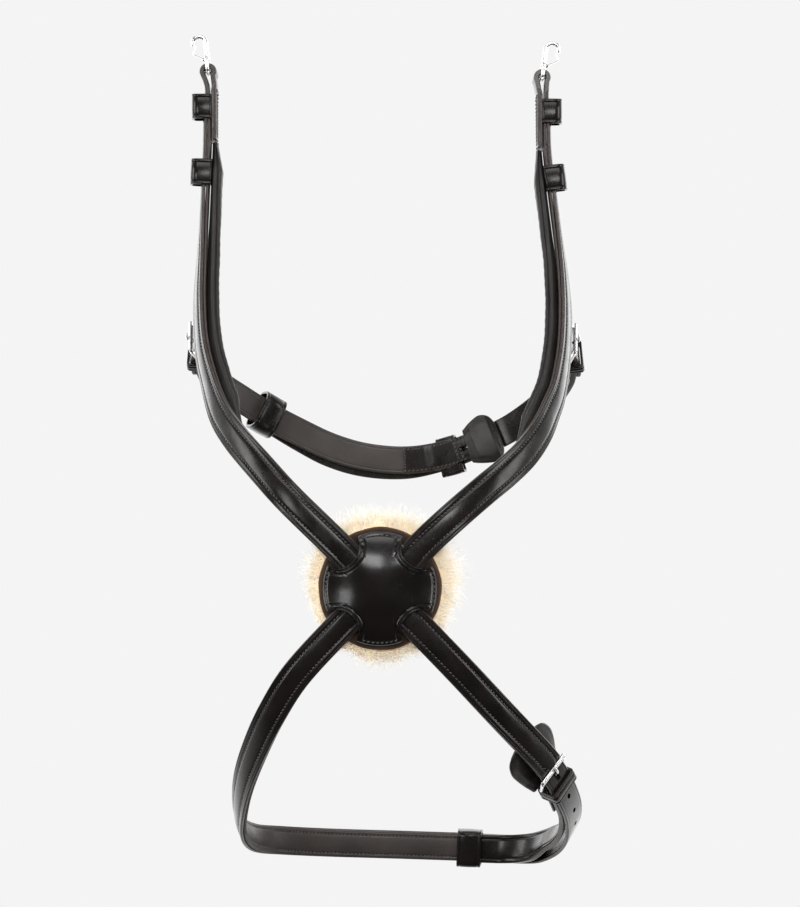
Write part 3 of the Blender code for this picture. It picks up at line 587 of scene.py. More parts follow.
def loft(rings, wear=None, closed=False):
    """A body through rings of equal count; wear holds one value for each point of a ring."""
    builder = bmesh.new()
    layer = builder.verts.layers.float.new("wear")
    values = wear or [0.0] * len(rings[0])
    made = [[marked(builder, layer, point, value) for point, value in zip(ring, values)] for ring in rings]
    if closed:
        skin(builder, made + made[:1], capped=False)
        return builder
    skin(builder, made)
    for vertex in made[0] + made[-1]:
        vertex[layer] = 1.0
    return builder


def face_height(side):
    """Height of a raised, stitched strap face at a place across it."""
    reach = abs(side)
    crown = 0.75 * max(0.0, 1.0 - (reach / 5.2) ** 2) ** 0.7
    groove = 0.34 * bump(reach, STITCH_SIDE, 0.55)
    crease = 0.13 * bump(reach, 7.9, 0.25)
    return crown - groove - crease - 0.95 * fallen(reach - 8.5) - 0.12


def plain_height(side):
    """Height of a flat strap face with a creased line near each edge."""
    reach = abs(side)
    crease = 0.20 * bump(reach, 7.7, 0.28)
    return 0.10 * (1.0 - (reach / STRAP_HALF) ** 2) - crease - 0.7 * fallen((reach - 8.7) / 0.8)


def padded_height(side):
    """Height of a softly filled lining, drawn down at its stitches."""
    reach = abs(side)
    crown = 0.65 * max(0.0, 1.0 - (reach / 6.6) ** 2) ** 0.6
    groove = 0.30 * bump(reach, LINING_STITCH_SIDE, 0.5)
    return crown - groove - 0.8 * fallen((reach - 7.9) / 1.1) - 0.1


def flat_height(side):
    """Height of a plain face with rounded edges."""
    return -0.6 * fallen((abs(side) - 8.7) / 0.8)


ACROSS = (0.0, 1.4, 2.6, 3.6, 4.3, 4.8, 5.15, 5.5, 6.0, 6.6, 7.3, 7.65, 7.9, 8.15, 8.5, 8.9, 9.2, 9.4, 9.5)


def across(half):
    """Places across a strap from one edge to the other."""
    scale = half / STRAP_HALF
    right = [reach * scale for reach in ACROSS]
    return [-reach for reach in reversed(right[1:])] + right


def two_sided(half, bottom, top, upper, lower):
    """Outline of a strap as (side, lift, wear); upper and lower give the relief of its two faces."""
    scale = STRAP_HALF / half
    sides = across(half)
    limit = (top - bottom) * 0.42
    outline = []
    for level, facing, height, places in ((top, 1.0, upper, sides), (bottom, -1.0, lower, sides[-2:0:-1])):
        for side in places:
            wear = max(0.0, abs(side) / half - 0.93) / 0.07
            outline.append((side, level + facing * max(height(side * scale), -limit), wear))
    return outline


def shrunk(outline, amount):
    """An outline drawn in towards its middle, for the rounded cut at an end."""
    lifts = [lift for _, lift, _ in outline]
    middle = (max(lifts) + min(lifts)) / 2
    deep = (max(lifts) - min(lifts)) / 2
    half = max(side for side, _, _ in outline)
    return [
        (side * (1.0 - amount / half), middle + (lift - middle) * max(0.1, 1.0 - amount / deep), wear)
        for side, lift, wear in outline
    ]


def strap_rings(route, stops, half, upper, lower, tip=0.0):
    """Rings of a strap; stops are (length, bottom, top) and a tip rounds its far end."""
    rows = []
    for first, second in zip(stops, stops[1:]):
        for distance in spread(first[0], second[0], FINE_STEP)[1 if rows else 0:]:
            part = (distance - first[0]) / (second[0] - first[0])
            bottom = first[1] + (second[1] - first[1]) * part
            top = first[2] + (second[2] - first[2]) * part
            rows.append((distance, half, bottom, top))
    last, bottom, top = stops[-1]
    for turn in range(10, 81, 10) if tip else ():
        angle = math.radians(turn)
        narrow = half * (0.12 + 0.88 * math.cos(angle))
        rows.append((last + tip * math.sin(angle), narrow, bottom, top))
    outlines = [two_sided(width, low, high, upper, lower) for _, width, low, high in rows]
    distances = [row[0] for row in rows]
    turned = 1.0 if distances[-1] > distances[0] else -1.0
    outlines = [shrunk(outlines[0], 0.5)] + outlines + [shrunk(outlines[-1], 0.5)]
    distances[0] += 0.35 * turned
    distances = [distances[0] - 0.35 * turned] + distances + [distances[-1] + 0.3 * turned]
    wear = [value for _, _, value in outlines[1]]
    rings = [
        [route.point(distance, side, lift) for side, lift, _ in outline]
        for distance, outline in zip(distances, outlines)
    ]
    return loft(rings, wear)


def capsule(builder, centre, along, normal, length, radius):
    """A short thread lying on a surface, thickest in its middle."""
    sideways = normal.cross(along)
    rings = []
    for part, swell, rise in ((-0.5, 0.35, -0.25), (-0.28, 0.9, 0.1), (0.28, 0.9, 0.1), (0.5, 0.35, -0.25)):
        middle = centre + along * (part * length) + normal * (rise * radius)
        points = circle(middle, sideways, normal, radius * swell, THREAD_SIDES)
        rings.append([builder.verts.new(point) for point in points])
    skin(builder, rings)


def pit(builder, centre, along, normal, size):
    """A small awl hole: a flattened diamond in the surface, in the near-black finish that paints the shade
    inside the hole.
    """
    ahead = along * size
    beside = normal.cross(along) * size * 0.8
    corners = [builder.verts.new(centre + offset) for offset in (ahead, beside, -ahead, -beside)]
    top = builder.verts.new(centre + normal * size * 0.18)
    under = builder.verts.new(centre - normal * size * 0.5)
    for index in range(4):
        after = (index + 1) % 4
        builder.faces.new((corners[index], corners[after], top)).material_index = 1
        builder.faces.new((corners[after], corners[index], under)).material_index = 1


class Stitching:
    """All the stitches of one piece, as one mesh of threads and of near-black pits painted as the shade in
    their holes.
    """

    def __init__(self):
        self.builder = bmesh.new()

    def add(self, centre, along, normal, pitch, slant=STITCH_SLANT, radius=THREAD_RADIUS):
        turn = math.radians(slant)
        sideways = normal.cross(along)
        lie = (along * math.cos(turn) + sideways * math.sin(turn)).normalized()
        capsule(self.builder, centre + normal * 0.10, lie, normal, pitch * THREAD_SHARE, radius)
        # each thread gets a near-black pit, painted shade for its hole
        pit(self.builder, centre + along * (pitch / 2), along, normal, HOLE_SIZE)

    def along_route(self, route, start, end, side, lift, facing=1.0, pitch=STITCH_PITCH):
        """Two rows, one on each side of a strap's middle, that slant opposite ways."""
        for row in (-side, side):
            for distance in spread(start, end, pitch):
                _, heading, outward, _ = route.frame(distance)
                place = route.point(distance, row, lift)
                self.add(place, heading, outward * facing, pitch, math.copysign(STITCH_SLANT, row))

    def across_route(self, route, distance, reach, lift, facing=1.0):
        """One row from edge to edge."""
        for side in spread(-reach, reach, CROSS_PITCH):
            _, _, outward, sideways = route.frame(distance)
            self.add(route.point(distance, side, lift), sideways, outward * facing, CROSS_PITCH)

    def finish(self, name, slot="strap_leather"):
        # the second finish paints the shade of the stitch holes
        add_piece(name, self.builder, (THREAD, HOLE_SHADE), nodes=())


def band(route, middle, length, half_width, bottom, top, wall=KEEPER_WALL, back=KEEPER_BACK_WALL,
         shift=0.0, crease=2.3, upper=1.0, lower=1.0):
    """A creased loop of leather round a strap; upper and lower are the radii of its inner corners."""
    half = length / 2
    stations = [(0.0, -0.55), (0.18, -0.22), (0.5, 0.0), (crease - 0.5, 0.02), (crease - 0.22, -0.14),
                (crease, -0.32), (crease + 0.22, -0.14), (crease + 0.5, 0.02)]
    stations = [(-half + place, grow) for place, grow in stations] + [(0.0, 0.10)]
    stations += [(-place, grow) for place, grow in reversed(stations[:-1])]
    inner = round_rectangle(-half_width, half_width, bottom, top, lower, upper, 7)
    outlines = [(-half, inner)]
    for place, grow in stations:
        wide = half_width + wall + grow
        low = bottom - back - grow * 0.6
        outline = round_rectangle(-wide, wide, low, top + wall + grow, lower + back, upper + wall, 7)
        outlines.append((place, outline))
    outlines.append((half, inner))
    rings = []
    for place, outline in outlines:
        rings.append([route.point(middle + place, side + shift, lift) for side, lift in outline])
    return loft(rings, closed=True)


def tube_rings(points, radii, up, sides, closed=False, flat=1.0):
    """Rings round a line; flat is the share of a ring's height that is left."""
    count = len(points)
    rings = []
    for index, point in enumerate(points):
        before = points[index - 1] if closed or index else point
        after = points[(index + 1) % count] if closed or index < count - 1 else point
        heading = (after - before).normalized()
        sideways = heading.cross(up).normalized()
        upward = sideways.cross(heading).normalized()
        rings.append(circle(point, sideways, upward * flat, radii[index], sides))
    return rings


def wire(points, radii, up, closed=False, sides=16, turns=4, flat=1.0):
    """A round wire on a smooth curve through the points; radii are read the same way."""
    fine = smoothed(points, turns, closed)
    sizes = [size[0] for size in smoothed([(radius, 0.0, 0.0) for radius in radii], turns, closed)]
    return loft(tube_rings(fine, sizes, up, sides, closed, flat), closed=closed)


# ---------------------------------------------------------------- straps

def strap_piece(name, route, stops, upper=plain_height, lower=flat_height, finish=BLACK,
                tip=0.0, half=STRAP_HALF):
    """A strap along a route; stops are (length, bottom, top)."""
    return add_piece(name, strap_rings(route, stops, half, upper, lower, tip=tip), (finish,))


def face(name, route, start, end, bottom=-FACE_DEPTH):
    strap_piece(name, route, ((start, bottom, 0.0), (end, bottom, 0.0)), upper=face_height)


def face_stitches(name, route, start, end, lift=0.0, side=STITCH_SIDE):
    stitching = Stitching()
    stitching.along_route(route, start, end, side, lift - STITCH_SINK)
    stitching.finish(name)


def lining(name, route, start, end):
    stops = ((start, LINING_BOTTOM, LINING_TOP), (end, LINING_BOTTOM, LINING_TOP))
    strap_piece(name, route, stops, flat_height, padded_height, LINING, half=LINING_HALF)


def lining_stitches(name, route, start, end):
    stitching = Stitching()
    side = LINING_STITCH_SIDE * LINING_HALF / STRAP_HALF
    stitching.along_route(route, start, end, side, LINING_BOTTOM + 0.32, facing=-1.0)
    stitching.finish(name, slot="lining")


def folded(route, origin, away, line, thick, half_at, edge=0.5, cup_at=None):
    """A strip of leather folded in the plane of a route: line holds (reach, lift) of its middle.

    cup_at says how far the strip's edges are drawn into the fold at a reach.
    """
    sides = (-1.0, -0.96, -0.86, -0.4, 0.0, 0.4, 0.86, 0.96, 1.0)
    outline = []
    for facing in (1.0, -1.0):
        for share in sides if facing > 0.0 else reversed(sides):
            drop = edge * max(0.0, (abs(share) - 0.86) / 0.14) ** 2
            outline.append((share, facing * (thick / 2 - drop)))
    fine = smoothed([(reach, lift, 0.0) for reach, lift in line], 3)
    rings = []
    for index, spot in enumerate(fine):
        before = fine[max(index - 1, 0)]
        after = fine[min(index + 1, len(fine) - 1)]
        run = (after - before).normalized()
        half = half_at(spot.x, index / (len(fine) - 1))
        cup = cup_at(spot.x) if cup_at else 0.0
        ring = []
        for share, level in outline:
            depth = level - cup * share * share
            reach = spot.x - run.y * depth
            ring.append(route.point(origin + away * reach, share * half, spot.y + run.x * depth))
        rings.append(ring)
    wear = [max(0.0, abs(share) - 0.9) / 0.1 for share, _ in outline]
    return loft(rings, wear)


# ---------------------------------------------------------------- cheeks

def cheek_keepers(side, route, heights):
    """The two fixed loops on a cheek, tipped so that their backs stand a little higher."""
    for name, height in heights:
        bottom = -4.4 if name == "upper" else LINING_BOTTOM - GAP
        middle = route.nearest(height)
        builder = band(
            route, middle, KEEPER_LENGTH, STRAP_HALF + 0.4, bottom, KEEPER_ROOM, back=0.9, upper=3.6,
        )
        hub = route.place(middle).y
        for vertex in builder.verts:
            vertex.co.z += KEEPER_TIP * (vertex.co.y - hub)
        add_piece("cheek_keeper_" + name + "_" + side, builder, (BLACK,))


def hook_loop(side, route, start, eye, inset, fold_end):
    """The leather fold that carries a hook's eye, stitched behind."""
    line = [(start, -2.2), (start + 4.0, -2.2), (eye - 13.0, -2.2), (eye - 8.0, min(-2.2, -inset + 2.9))]
    line += arc(eye, -inset, EYE_RADIUS, range(125, -126, -25))
    fold_lift = -5.7 - LOOP_THICK / 2
    line += [(eye - 9.5, fold_lift - 0.1), (eye - 14.0, fold_lift)]
    line += [(distance, fold_lift) for distance in spread(eye - 20.0, fold_end, 6.0)]

    def half_at(_, share):
        return STRAP_HALF - 1.6 * max(0.0, (share - 0.93) / 0.07)

    def cup_at(reach):
        return 0.8 * clamp((eye - 8.0 - reach) / 4.0)

    fold = folded(route, 0.0, 1.0, line, LOOP_THICK, half_at, cup_at=cup_at)
    add_piece("hook_loop_" + side, fold, (BLACK,))
    stitching = Stitching()
    inner = fold_lift - LOOP_THICK / 2 + 0.12
    stitching.along_route(
        route, fold_end + 2.0, eye - 13.0, FOLD_STITCH_SIDE, inner, facing=-1.0, pitch=2.4,
    )
    stitching.across_route(route, eye - 11.6, 6.6, inner + 0.1, facing=-1.0)
    stitching.finish("hook_loop_stitching_" + side)


def hook(side, outward_sign, bar, tilt):
    """A steel hook on its square eye, with the sprung gate that shuts it."""
    lean = math.radians(tilt)
    upward = Vector((outward_sign * math.sin(lean), 0.0, math.cos(lean)))
    outward = Vector((outward_sign * math.cos(lean), 0.0, -math.sin(lean)))
    depth = Vector((0.0, 1.0, 0.0))

    def at(out, up, back=0.0):
        return bar + outward * out + depth * back + upward * up

    body = "hook_" + side
    half = STRAP_HALF + 0.5 + HOOK_WIRE
    corners = round_rectangle(-half, half, 0.0, EYE_HEIGHT, EYE_CORNER, EYE_CORNER, 3)
    outline = [at(0.0, up, back) for back, up in corners]
    eye = wire(outline, [HOOK_WIRE] * len(outline), outward, closed=True, turns=3)
    add_piece("hook_eye_" + side, eye, (STEEL,), nodes=("hook_body_" + side,), body=body)

    stem = [(0.0, 8.4), (0.0, 11.0), (0.0, 14.0), (0.0, 18.0)]
    bend = arc(HOOK_BEND, 20.5, HOOK_BEND, range(180, -1, -30))
    points = [at(*spot) for spot in stem + bend + [(2.0 * HOOK_BEND, 18.8)]]
    limb = wire(points, [1.9, 1.75] + [1.6] * 7 + [1.45, 1.25, 0.9], depth)
    add_piece("hook_limb_" + side, limb, (STEEL,), nodes=(), body=body)

    points = [at(*spot) for spot in ((-1.2, 9.4), (1.0, 9.4), (2.6, 9.5), (3.6, 10.2))]
    shoulder = wire(points, [1.5, 1.6, 1.35, 0.7], depth)
    add_piece("hook_shoulder_" + side, shoulder, (STEEL,), nodes=(), body=body)

    points = [at(*spot) for spot in ((2.6, 9.6), (4.6, 11.0), (8.8, 13.6), (8.2, 16.0), (6.8, 18.4))]
    gate = wire(points, [2.2, 2.2, 2.25, 2.1, 1.5], outward, turns=5, flat=0.24)
    add_piece("hook_gate_" + side, gate, (STEEL,), body="hook_gate_" + side)


def pad_outline(half, bottom, top):
    """A soft pad's outline: two rolls with a sunk seam between them along each edge."""
    middle = (bottom + top) / 2
    deep = (top - bottom) / 2
    edge = []
    for turn in range(90, -1, -15):
        angle = math.radians(turn)
        side = half - PAD_ROLL + PAD_ROLL * math.cos(angle)
        edge.append((side, middle + deep * (0.42 + 0.58 * math.sin(angle))))
    edge += [(half - 0.25, middle + deep * 0.22), (half - 1.0, middle)]
    edge += [(side, 2 * middle - lift) for side, lift in reversed(edge[:-1])]
    flat = half - 2.4
    upper = [(share * flat, top + 1.05 * (1.0 - share ** 4)) for share in (-0.95, -0.8, 0.0, 0.8, 0.95)]
    lower = [(share * flat, bottom - 0.7 * (1.0 - share * share)) for share in (0.9, 0.5, 0.0, -0.5, -0.9)]
    return upper + edge + lower + [(-side, lift) for side, lift in reversed(edge)]


def cheek_pad(side, route, top, tip):
    """The long padded leaf behind a cheek's fittings."""
    rings = []
    phase = random.Random(side).uniform(0.0, 6.0)
    for distance in spread(top, tip, FINE_STEP):
        part = (distance - top) / (tip - top)
        ends = min(1.0, 0.30 + part * 8.0, 0.30 + (1.0 - part) * 5.0)
        pucker = 0.12 * math.sin(distance * 0.9 + phase) + 0.08 * math.sin(distance * 2.3)
        bottom = PAD_TOP - (PAD_THICK + pucker) * max(0.35, ends)
        rings.append([route.point(distance, *spot) for spot in pad_outline(PAD_HALF * ends, bottom, PAD_TOP)])
    piece = add_piece("cheek_pad_" + side, loft(rings), (PAD,))


def cheek(side, outward_sign, route, bar, tilt, inset, keepers, top, pad_ends, fold_end):
    """Everything on one cheek from the nose disc up to the hook."""
    end = route.nearest(top)
    face("upper_strap_" + side, route, 0.0, end)
    face_stitches("upper_stitching_" + side, route, 18.0, end - 3.0)
    lining("upper_lining_" + side, route, 0.0, end)
    cheek_keepers(side, route, keepers)
    eye = end + bar.z - route.place(end).z
    hook_loop(side, route, end + GAP, eye, inset, route.nearest(fold_end))
    hook(side, outward_sign, bar, tilt)
    cheek_pad(side, route, route.nearest(pad_ends[0]), route.nearest(pad_ends[1]))


# ---------------------------------------------------------------- buckles

class BuckleFrame:
    """Directions of a buckle: reach from heel bar to toe bar, side, and lift off the strap."""

    def __init__(self, route, heel, toe):
        self.heel = route.point(heel, 0.0, HEEL_LIFT)
        self.toe = route.point(toe, 0.0, TOE_LIFT)
        _, _, outward, _ = route.frame(heel + (toe - heel) / 3.5)
        reach = self.toe - self.heel
        self.side = reach.cross(outward).normalized()
        self.reach = (reach - outward * reach.dot(outward)).normalized()
        self.lift = self.side.cross(self.reach).normalized()
        if self.lift.dot(outward) < 0.0:
            self.lift = -self.lift
        self.length = (self.toe - self.heel).dot(self.reach)
        self.rise = (self.toe - self.heel).dot(self.lift)

    def point(self, reach, side, lift):
        return self.heel + self.reach * reach + self.side * side + self.lift * lift


def buckle(prefix, route, heel, toe):
    """A square-cornered steel frame and its prong."""
    place = BuckleFrame(route, heel, toe)
    half = BUCKLE_INSIDE / 2 + BAR_RADIUS
    outline = []
    radii = []
    for reach, side in round_rectangle(0.0, place.length, -half, half, FRAME_CORNER, FRAME_CORNER, 4):
        outline.append(place.point(reach, side, place.rise * reach / place.length))
        radii.append(BAR_RADIUS * (1.0 + 0.28 * reach / place.length))
    frame_wire = wire(outline, radii, place.lift, closed=True, turns=3, flat=0.78)
    add_piece(prefix + "_buckle_frame", frame_wire, (STEEL,))

    ring = BAR_RADIUS + PRONG_CLEARANCE + PRONG_RADIUS
    line = arc(0.0, 0.0, ring, (-40, -80, -120, -160, -200, -240, -270))
    line += [(1.8, 2.9), (3.6, 4.4), (5.4, 6.3), (8.0, 7.9)]
    resting = place.rise + ring
    for past, rise in ((-3.0, -0.9), (0.0, 0.0), (2.6, 0.1)):
        line.append((place.length + past, resting + rise))
    points = [place.point(reach, 0.0, lift) for reach, lift in line]
    radii = [PRONG_RADIUS] * (len(points) - 2) + [0.85, 0.45]
    prong = wire(points, radii, place.side, sides=12, turns=3)
    add_piece(prefix + "_buckle_prong", prong, (STEEL,), body="prong_" + prefix)


def box_between(route, start, end, half_width, bottom, top):
    """A straight block along a piece of a route, for a slot."""
    rings = []
    for distance in (start, end):
        corners = ((-half_width, top), (half_width, top), (half_width, bottom), (-half_width, bottom))
        rings.append([route.point(distance, side, lift) for side, lift in corners])
    return loft(rings)


def cut_out(piece, cutter_builder, folds=False):
    """Take a shape out of a finished piece for good; folds is for leather that lies on itself."""
    cutter = linked("cutter", finished_mesh("cutter", cutter_builder))
    boolean = piece.modifiers.new("cut", "BOOLEAN")
    boolean.object = cutter
    boolean.use_self = folds
    bpy.context.view_layer.update()
    graph = bpy.context.evaluated_depsgraph_get()
    piece.data = bpy.data.meshes.new_from_object(piece.evaluated_get(graph))
    piece.modifiers.clear()
    bpy.data.objects.remove(cutter)
    assert piece.data.polygons, piece.name


def prong_hole(piece, route, start, end):
    """The hole that a prong stands in, through a strap that lies in a buckle."""
    cut_out(piece, box_between(route, start, end, SLOT_HALF, BILLET_BOTTOM - CUT_PAST, BILLET_TOP + CUT_PAST))


def punch(piece, route, start):
    """Four more holes, a hole's pitch apart, past a place."""
    for index in range(1, 5):
        cut_out(piece, oval_cutter(route, start + HOLE_PITCH * index))


def oval_cutter(route, distance):
    """An upright oval through a billet, for a punched hole."""
    rings = []
    for lift in (BILLET_BOTTOM - CUT_PAST, BILLET_TOP + CUT_PAST):
        ring = []
        for index in range(16):
            angle = math.tau * index / 16
            along = distance + HOLE_HALF_LONG * math.cos(angle)
            ring.append(route.point(along, HOLE_HALF_WIDE * math.sin(angle), lift))
        rings.append(ring)
    return loft(rings)


def chape(prefix, route, heel, away, inner_end, proud_end=4.0):
    """Leather turned round the heel bar, with its slot for the prong."""
    middle = BAR_RADIUS + BAR_CLEARANCE + CHAPE_THICK / 2
    line = [(reach, HEEL_LIFT + middle) for reach in (11.0, 6.0, 2.0)]
    line += arc(0.0, HEEL_LIFT, middle, range(90, 271, 30))
    line.append((4.0, HEEL_LIFT - middle))
    if proud_end > 4.0:
        line += [(reach, HEEL_LIFT - middle) for reach in (proud_end / 2, proud_end)]
    line += [(reach, CHAPE_INNER) for reach in spread(proud_end + 6.0, inner_end, 6.0)]

    def half_at(reach, _):
        return STRAP_HALF - 1.9 * clamp((14.0 - reach) / 3.0)

    builder = folded(route, heel, away, line, CHAPE_THICK, half_at, edge=0.35)
    piece = add_piece(prefix + "_chape", builder, (BLACK,))
    ends = (heel - away * 6.0, heel + away * 7.0)
    slot = box_between(route, min(ends), max(ends), SLOT_HALF, HEEL_LIFT - 8.0, BILLET_BOTTOM + 0.2)
    cut_out(piece, slot, folds=True)


def buckle_keeper(name, route, middle, length):
    builder = band(route, middle, length, STRAP_HALF + 0.6, CHAPE_BACK, -1.7, crease=2.0)
    add_piece(name, builder, (BLACK,))


def guard(name, route, tip, root, tip_lift, half_width):
    """A padded leather lobe between a buckle and the skin: fan-shaped, with a rolled rim."""
    shape = [Vector((part, share, 0.0)) for part, share in GUARD_SHAPE]
    rings = []
    for index in range((len(shape) - 1) * 5 + 1):
        spot = spline(shape, index / 5)
        distance = tip + (root - tip) * spot.x
        lift = tip_lift + (GUARD_ROOT_LIFT - tip_lift) * min(1.0, spot.x * 1.35)
        half = half_width * spot.y
        thick = GUARD_THICK * min(1.0, 0.55 + spot.x * 3.0)
        near_tip = bump(spot.x * abs(root - tip), 2.6, 0.6)
        ring = []
        for turn in range(40):
            angle = math.tau * turn / 40
            sideways = math.copysign(abs(math.cos(angle)) ** 0.6, math.cos(angle)) * half
            through = math.copysign(abs(math.sin(angle)) ** 0.7, math.sin(angle))
            groove = 0.55 * max(bump(half - abs(sideways), 2.6, 0.6), near_tip)
            depth = (thick / 2 - groove) * through - thick / 2
            ring.append(route.point(distance, sideways, lift + depth))
        rings.append(ring)
    piece = add_piece(name, loft(rings), (GUARD,), sharp=80.0)


def cheek_fitting(side, route):
    """Adjustable link behind a cheek: a holed tab through the jaw strap's own buckle."""
    prefix = "cheek_" + side
    heel = TAB_TOE + BUCKLE_REACH
    stops = (
        (TAB_ROOT, BILLET_BOTTOM, TAB_THIN_TOP), (4.0, BILLET_BOTTOM, TAB_THIN_TOP),
        (7.5, BILLET_BOTTOM, BILLET_TOP), (heel + 15.0, BILLET_BOTTOM, BILLET_TOP),
    )
    tab = strap_piece(prefix + "_tab", route, stops, tip=8.0)
    prong_hole(tab, route, heel - 9.6, heel - 0.6)
    buckle(prefix, route, heel, TAB_TOE)
    chape(prefix, route, heel, 1.0, inner_end=24.0)
    buckle_keeper(prefix + "_keeper", route, heel + 6.8, length=7.0)
    return heel + CARRIER_START


def chape_stitches(route, heel):
    """Two chunky rows down the jaw chape's inner leg, and the crosses that close both ends."""
    stitching = Stitching()
    proud = HEEL_LIFT - BAR_RADIUS - BAR_CLEARANCE - CHAPE_THICK
    flush = CHAPE_INNER - CHAPE_THICK / 2

    def add(away, side, lift, pitch, **look):
        _, heading, outward, _ = route.frame(heel - away)
        stitching.add(route.point(heel - away, side, lift + 0.1), heading, outward * -1.0, pitch, **look)

    for side in (-FOLD_STITCH_SIDE, FOLD_STITCH_SIDE):
        for away in spread(5.0, 47.5, 2.9):
            part = clamp((away - RUNNER_AWAY - 10.5) / 6.0)
            add(away, side, proud + (flush - proud) * part, 2.9)
    stitching.across_route(route, heel - 47.3, 5.2, flush + 0.05, facing=-1.0)
    for away, turned in ((6.0, 1.0), (6.0, -1.0), (9.5, 1.0), (9.5, -1.0)):
        for side in spread(-5.0, 5.0, 2.5):
            add(away, side, proud, 3.4, slant=48.0 * turned, radius=0.36)
    stitching.finish("jaw_chape_stitching")


def jaw_assembly(left, right):
    """The strap behind the upper jaw: lined left part with the buckle, right part with the holes."""
    left_start = cheek_fitting("left", left)
    right_start = cheek_fitting("right", right)
    heel = left.nearest(JAW_HEEL)
    toe = heel + BUCKLE_REACH
    end = heel - CARRIER_START
    bottom = CARRIER_TOP - JAW_STRAP_THICK
    stops = ((left_start, bottom, CARRIER_TOP), (end, bottom, CARRIER_TOP))
    strap_piece("jaw_strap", left, stops)
    face_stitches("jaw_stitching", left, left_start + 4.0, end - 3.0, CARRIER_TOP + 0.35, side=6.6)
    stops = ((left_start, CARRIER_BOTTOM, JAW_LINING_TOP), (end, CARRIER_BOTTOM, JAW_LINING_TOP))
    strap_piece("jaw_lining", left, stops, flat_height, plain_height, LINING, half=LINING_HALF)
    billet_toe = right.nearest(left.point(toe))
    stops = (
        (right_start, CARRIER_BOTTOM, CARRIER_TOP), (right_start + 10.0, CARRIER_BOTTOM, CARRIER_TOP),
        (billet_toe - 16.0, BILLET_BOTTOM, BILLET_TOP), (billet_toe + 24.0, BILLET_BOTTOM, BILLET_TOP),
        (right.length - 9.0, BILLET_BOTTOM, BILLET_TOP),
    )
    billet = strap_piece("jaw_billet", right, stops, tip=9.0)
    prong_hole(billet, left, heel + 0.6, heel + 9.6)
    punch(billet, right, right.nearest(left.point(heel)) + 4.0)
    buckle("jaw", left, heel, toe)
    chape("jaw", left, heel, -1.0, inner_end=49.0, proud_end=RUNNER_AWAY + 10.5)
    chape_stitches(left, heel)
    guard("jaw_guard", left, toe + 10.0, heel - GUARD_ROOT + 2.0, tip_lift=-7.2, half_width=17.0)
    runner = band(
        left, heel - RUNNER_AWAY, length=15.0, half_width=STRAP_HALF + RUNNER_SLACK, bottom=RUNNER_BACK,
        top=-0.6, shift=0.4 - RUNNER_SLACK,
    )
    add_piece("jaw_runner_keeper", runner, (BLACK,), body="jaw_runner")
    middle = left.nearest(JAW_END) - 4.0
    end_keeper = band(
        left, middle, KEEPER_LENGTH, STRAP_HALF + 2.6, bottom=-14.4, top=1.6, wall=1.8, back=1.8,
        upper=4.6, lower=6.0,
    )
    add_piece("jaw_end_keeper", end_keeper, (BLACK,))


def chin_assembly(route):
    """The lower right strap, its holed end, and the chin strap with the buckle that takes it."""
    toe = route.nearest(CHIN_TOE)
    heel = toe + BUCKLE_REACH
    rear = route.nearest(CHIN_REAR)
    end = toe - BAR_RADIUS - 1.4
    face("lower_strap_right", route, 0.0, end, -FACE_DEPTH + 0.3)
    face_stitches("lower_stitching_right", route, 16.0, end - 5.0)
    crossed = Stitching()
    crossed.across_route(route, end - 4.0, 4.2, -0.2)
    crossed.finish("lower_end_stitching_right")
    stops = ((0.0, BILLET_BOTTOM, BILLET_TOP), (route.length - 8.0, BILLET_BOTTOM, BILLET_TOP))
    billet = strap_piece("chin_billet", route, stops, tip=8.0)
    prong_hole(billet, route, heel - 9.6, heel - 0.6)
    punch(billet, route, heel)
    buckle("chin", route, heel, toe)
    chape("chin", route, heel, 1.0, inner_end=30.0)
    guard("chin_guard", route, toe - 28.0, heel + GUARD_ROOT, tip_lift=-6.2, half_width=20.0)
    buckle_keeper("chin_buckle_keeper", route, heel + 7.2, length=9.0)
    start = heel + CARRIER_START
    middle = (start + rear) / 2 + 8.0
    stops = (
        (start, CARRIER_BOTTOM, CARRIER_TOP), (start + 22.0, CARRIER_BOTTOM, CARRIER_TOP),
        (middle, CARRIER_BOTTOM - CHIN_SLACK, CARRIER_TOP - CHIN_SLACK),
        (rear - 22.0, CARRIER_BOTTOM, CARRIER_TOP), (rear - 1.6, CARRIER_BOTTOM, CARRIER_TOP),
    )
    strap_piece("chin_strap", route, stops, lower=padded_height)
    keeper = band(
        route, rear, KEEPER_LENGTH, STRAP_HALF + 1.0, bottom=-13.4, top=-1.8, wall=1.7, back=1.7, lower=2.0,
    )
    add_piece("chin_rear_keeper", keeper, (BLACK,))


# ---------------------------------------------------------------- nose disc

DIAGONALS = tuple(math.radians(45 + 90 * quarter) for quarter in range(4))


def height_over_disc(radius, angle):
    """A dome, whose edge stands highest over the four mouths that the straps come out of."""
    edge = DISC_EDGE + (DISC_SHOULDER - DISC_EDGE) * math.sin(2.0 * angle) ** 2
    part = min(1.0, radius / DISC_RADIUS)
    return edge + (DISC_CROWN - edge) * (1.0 - part ** 2.4)


def disc_boundary():
    """Angle and radius round the front leather: four arcs of its rim and the scallops between them."""
    reach = math.asin(SCALLOP_RADIUS / SCALLOP_CENTRE)
    spots = []
    for diagonal in DIAGONALS:
        for step in range(-44, 45):
            around = math.pi / 2 * (step / 44.0)
            depth = SCALLOP_CENTRE - SCALLOP_RADIUS * math.cos(around)
            sideways = SCALLOP_RADIUS * math.sin(around)
            angle = diagonal + math.atan2(sideways, depth)
            spots.append((angle, min(math.hypot(depth, sideways), DISC_RADIUS)))
        start = diagonal + reach + 0.05
        end = diagonal + math.pi / 2 - reach - 0.05
        spots += [(angle, DISC_RADIUS) for angle in spread(start, end, 0.015)]
    ordered = []
    for angle, radius in sorted(spots):
        if not ordered or angle - ordered[-1][0] > 0.004:
            ordered.append((angle, radius))
    return ordered


